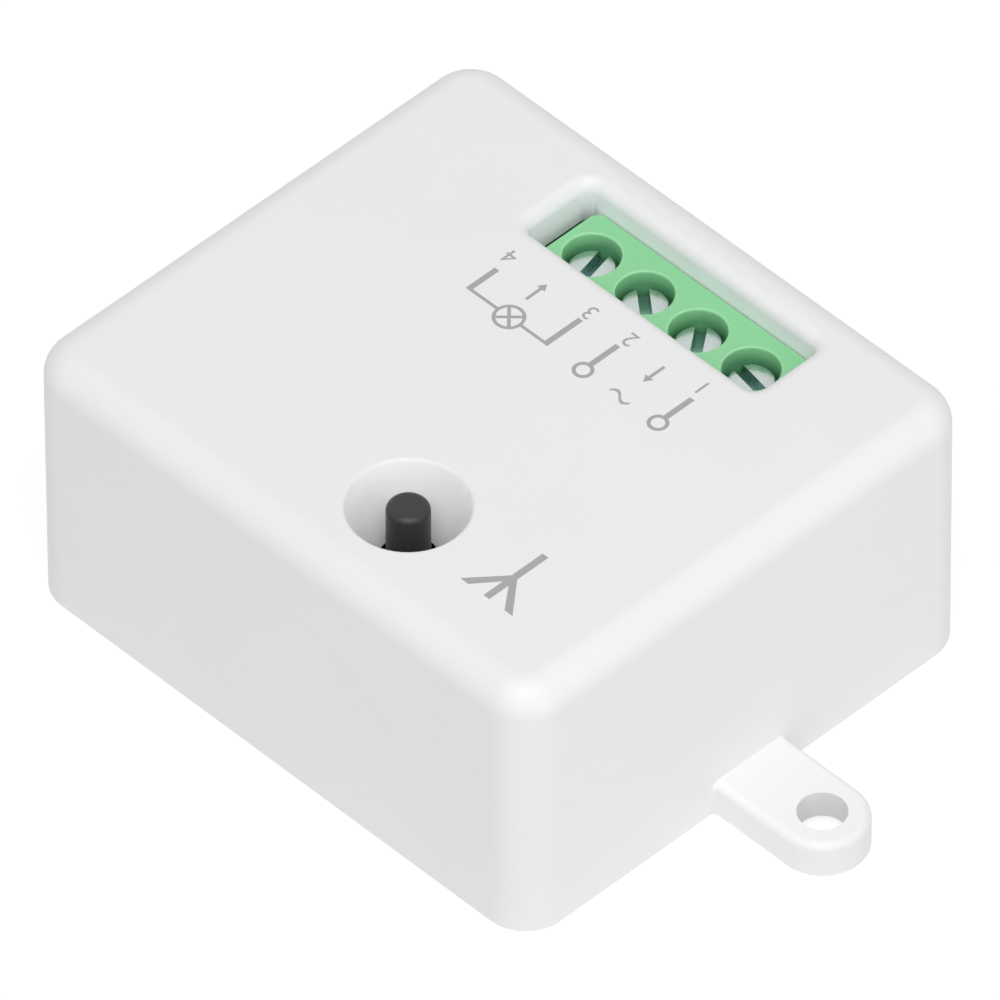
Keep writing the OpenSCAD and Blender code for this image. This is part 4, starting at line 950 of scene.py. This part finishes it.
def print_aerial():
    """Sign for an aerial, upright as seen from the wire side."""
    ink = Print()
    x, foot = AERIAL_FOOT
    top, fork = foot - AERIAL_H, foot - AERIAL_FORK
    half = AERIAL_STROKE / 2
    length = math.hypot(AERIAL_REACH, fork - top)
    upright = half * length / AERIAL_REACH
    level = half * length / (fork - top)
    ink.bar((x, foot), (x, top), AERIAL_STROKE)
    for side in (-1, 1):
        tip, root = x + side * AERIAL_REACH, x + side * half
        arm = [(root, fork - upright), (root, fork + upright), (tip + side * level, top)]
        arm.append((tip - side * level, top))
        ink.shape(arm[::-side])
    ink.finish("print_aerial")


print_diagram()
print_numbers()
print_aerial()


# Studio: pale floor and soft light, with a white background

FLOOR_SIZE = 8
FLOOR_DROP = 0.01 * MM
CARD = (0.8, 0.8, 0.8, 1)
SHADOW_CARD = (0.3, 0.3, 0.3, 1)
CARD_WHITE = 0.78


def seen_rays(tree):
    """1 for rays that show the background: from the camera, from gloss and through clear pieces."""
    path = add(tree, "ShaderNodeLightPath").outputs
    glossy = calc(tree, "MAXIMUM", path["Is Camera Ray"], path["Is Glossy Ray"])
    return calc(tree, "MAXIMUM", glossy, path["Is Transmission Ray"])


def floor_finish():
    """White card that lights the object from below and keeps its soft shadow."""
    material = bpy.data.materials.new("floor_card")
    material.use_nodes = True
    tree = material.node_tree
    tree.nodes.clear()
    card = add(tree, "ShaderNodeBsdfDiffuse", {"Color": CARD}).outputs[0]
    shadow = add(tree, "ShaderNodeBsdfDiffuse", {"Color": SHADOW_CARD}).outputs[0]
    white = add(tree, "ShaderNodeEmission", {"Strength": CARD_WHITE}).outputs[0]
    shown = add(tree, "ShaderNodeAddShader", {0: shadow, 1: white}).outputs[0]
    choice = add(tree, "ShaderNodeMixShader", {0: seen_rays(tree), 1: card, 2: shown}).outputs[0]
    add(tree, "ShaderNodeOutputMaterial", {"Surface": choice})
    return material


def add_floor():
    mesh = bpy.data.meshes.new("floor")
    half = FLOOR_SIZE / 2
    corners = [(-half, -half), (half, -half), (half, half), (-half, half)]
    mesh.from_pydata([(x, y, -FLOOR_DROP) for x, y in corners], [], [(0, 1, 2, 3)])
    mesh.materials.append(floor_finish())
    floor = bpy.data.objects.new("floor", mesh)
    bpy.context.scene.collection.objects.link(floor)


def add_world(level):
    """Even white light all round; what the camera and gloss see of it is plain white."""
    world = bpy.data.worlds.new("studio")
    bpy.context.scene.world = world
    world.use_nodes = True
    tree = world.node_tree
    background = tree.nodes["Background"].inputs
    background["Color"].default_value = (1, 1, 1, 1)
    feed(tree, spread(tree, seen_rays(tree), level, 1, 0, 1), background["Strength"])


def add_panel(name, azimuth, elevation, distance, size, radiance):
    """Square soft light that faces the object; degrees, with azimuth from +X towards +Y."""
    lamp = bpy.data.lights.new(name, "AREA")
    lamp.size = size
    lamp.energy = radiance * math.pi * size * size
    panel = bpy.data.objects.new(name, lamp)
    a, e = math.radians(azimuth), math.radians(elevation)
    away = Vector((math.cos(a) * math.cos(e), math.sin(a) * math.cos(e), math.sin(e)))
    panel.location = distance * away
    panel.rotation_euler = away.to_track_quat("Z", "Y").to_euler()
    bpy.context.scene.collection.objects.link(panel)


add_floor()
add_world(level=0.495)
add_panel("front_panel", azimuth=-44, elevation=60, distance=0.9, size=0.6, radiance=3.5)
add_panel("side_panel", azimuth=0, elevation=15, distance=0.9, size=0.7, radiance=0.6)


# Camera at the photograph's viewing angle, in its frame of 1000 by 1000 pixels

VIEW_AZIMUTH = math.radians(45.862)
VIEW_ELEVATION = math.radians(45.199)
VIEW_ROLL = math.radians(-0.323)
FRAME_PX = 1000
FOCAL_PX = 27237
PX_PER_M = 14892
SENSOR_MM = 36
FAR_CLIP = 20
AIM = Vector((0, 0, 12.43 * MM))
FRAMING = (0.136 * MM, -1.605 * MM)


def add_camera():
    back = Vector((
        math.sin(VIEW_AZIMUTH) * math.cos(VIEW_ELEVATION),
        -math.cos(VIEW_AZIMUTH) * math.cos(VIEW_ELEVATION),
        math.sin(VIEW_ELEVATION),
    ))
    level = Vector((math.cos(VIEW_AZIMUTH), math.sin(VIEW_AZIMUTH), 0))
    right = Matrix.Rotation(VIEW_ROLL, 3, back) @ level
    up = back.cross(right)
    lens = bpy.data.cameras.new("camera")
    lens.sensor_width = SENSOR_MM
    lens.lens = FOCAL_PX / FRAME_PX * SENSOR_MM
    lens.clip_end = FAR_CLIP
    camera = bpy.data.objects.new("camera", lens)
    place = AIM + FRAMING[0] * right + FRAMING[1] * up + FOCAL_PX / PX_PER_M * back
    axes = Matrix((right, up, back)).transposed().to_4x4()
    camera.matrix_world = Matrix.Translation(place) @ axes
    bpy.context.scene.collection.objects.link(camera)
    bpy.context.scene.camera = camera


add_camera()
bpy.context.scene.view_settings.view_transform = "Standard"
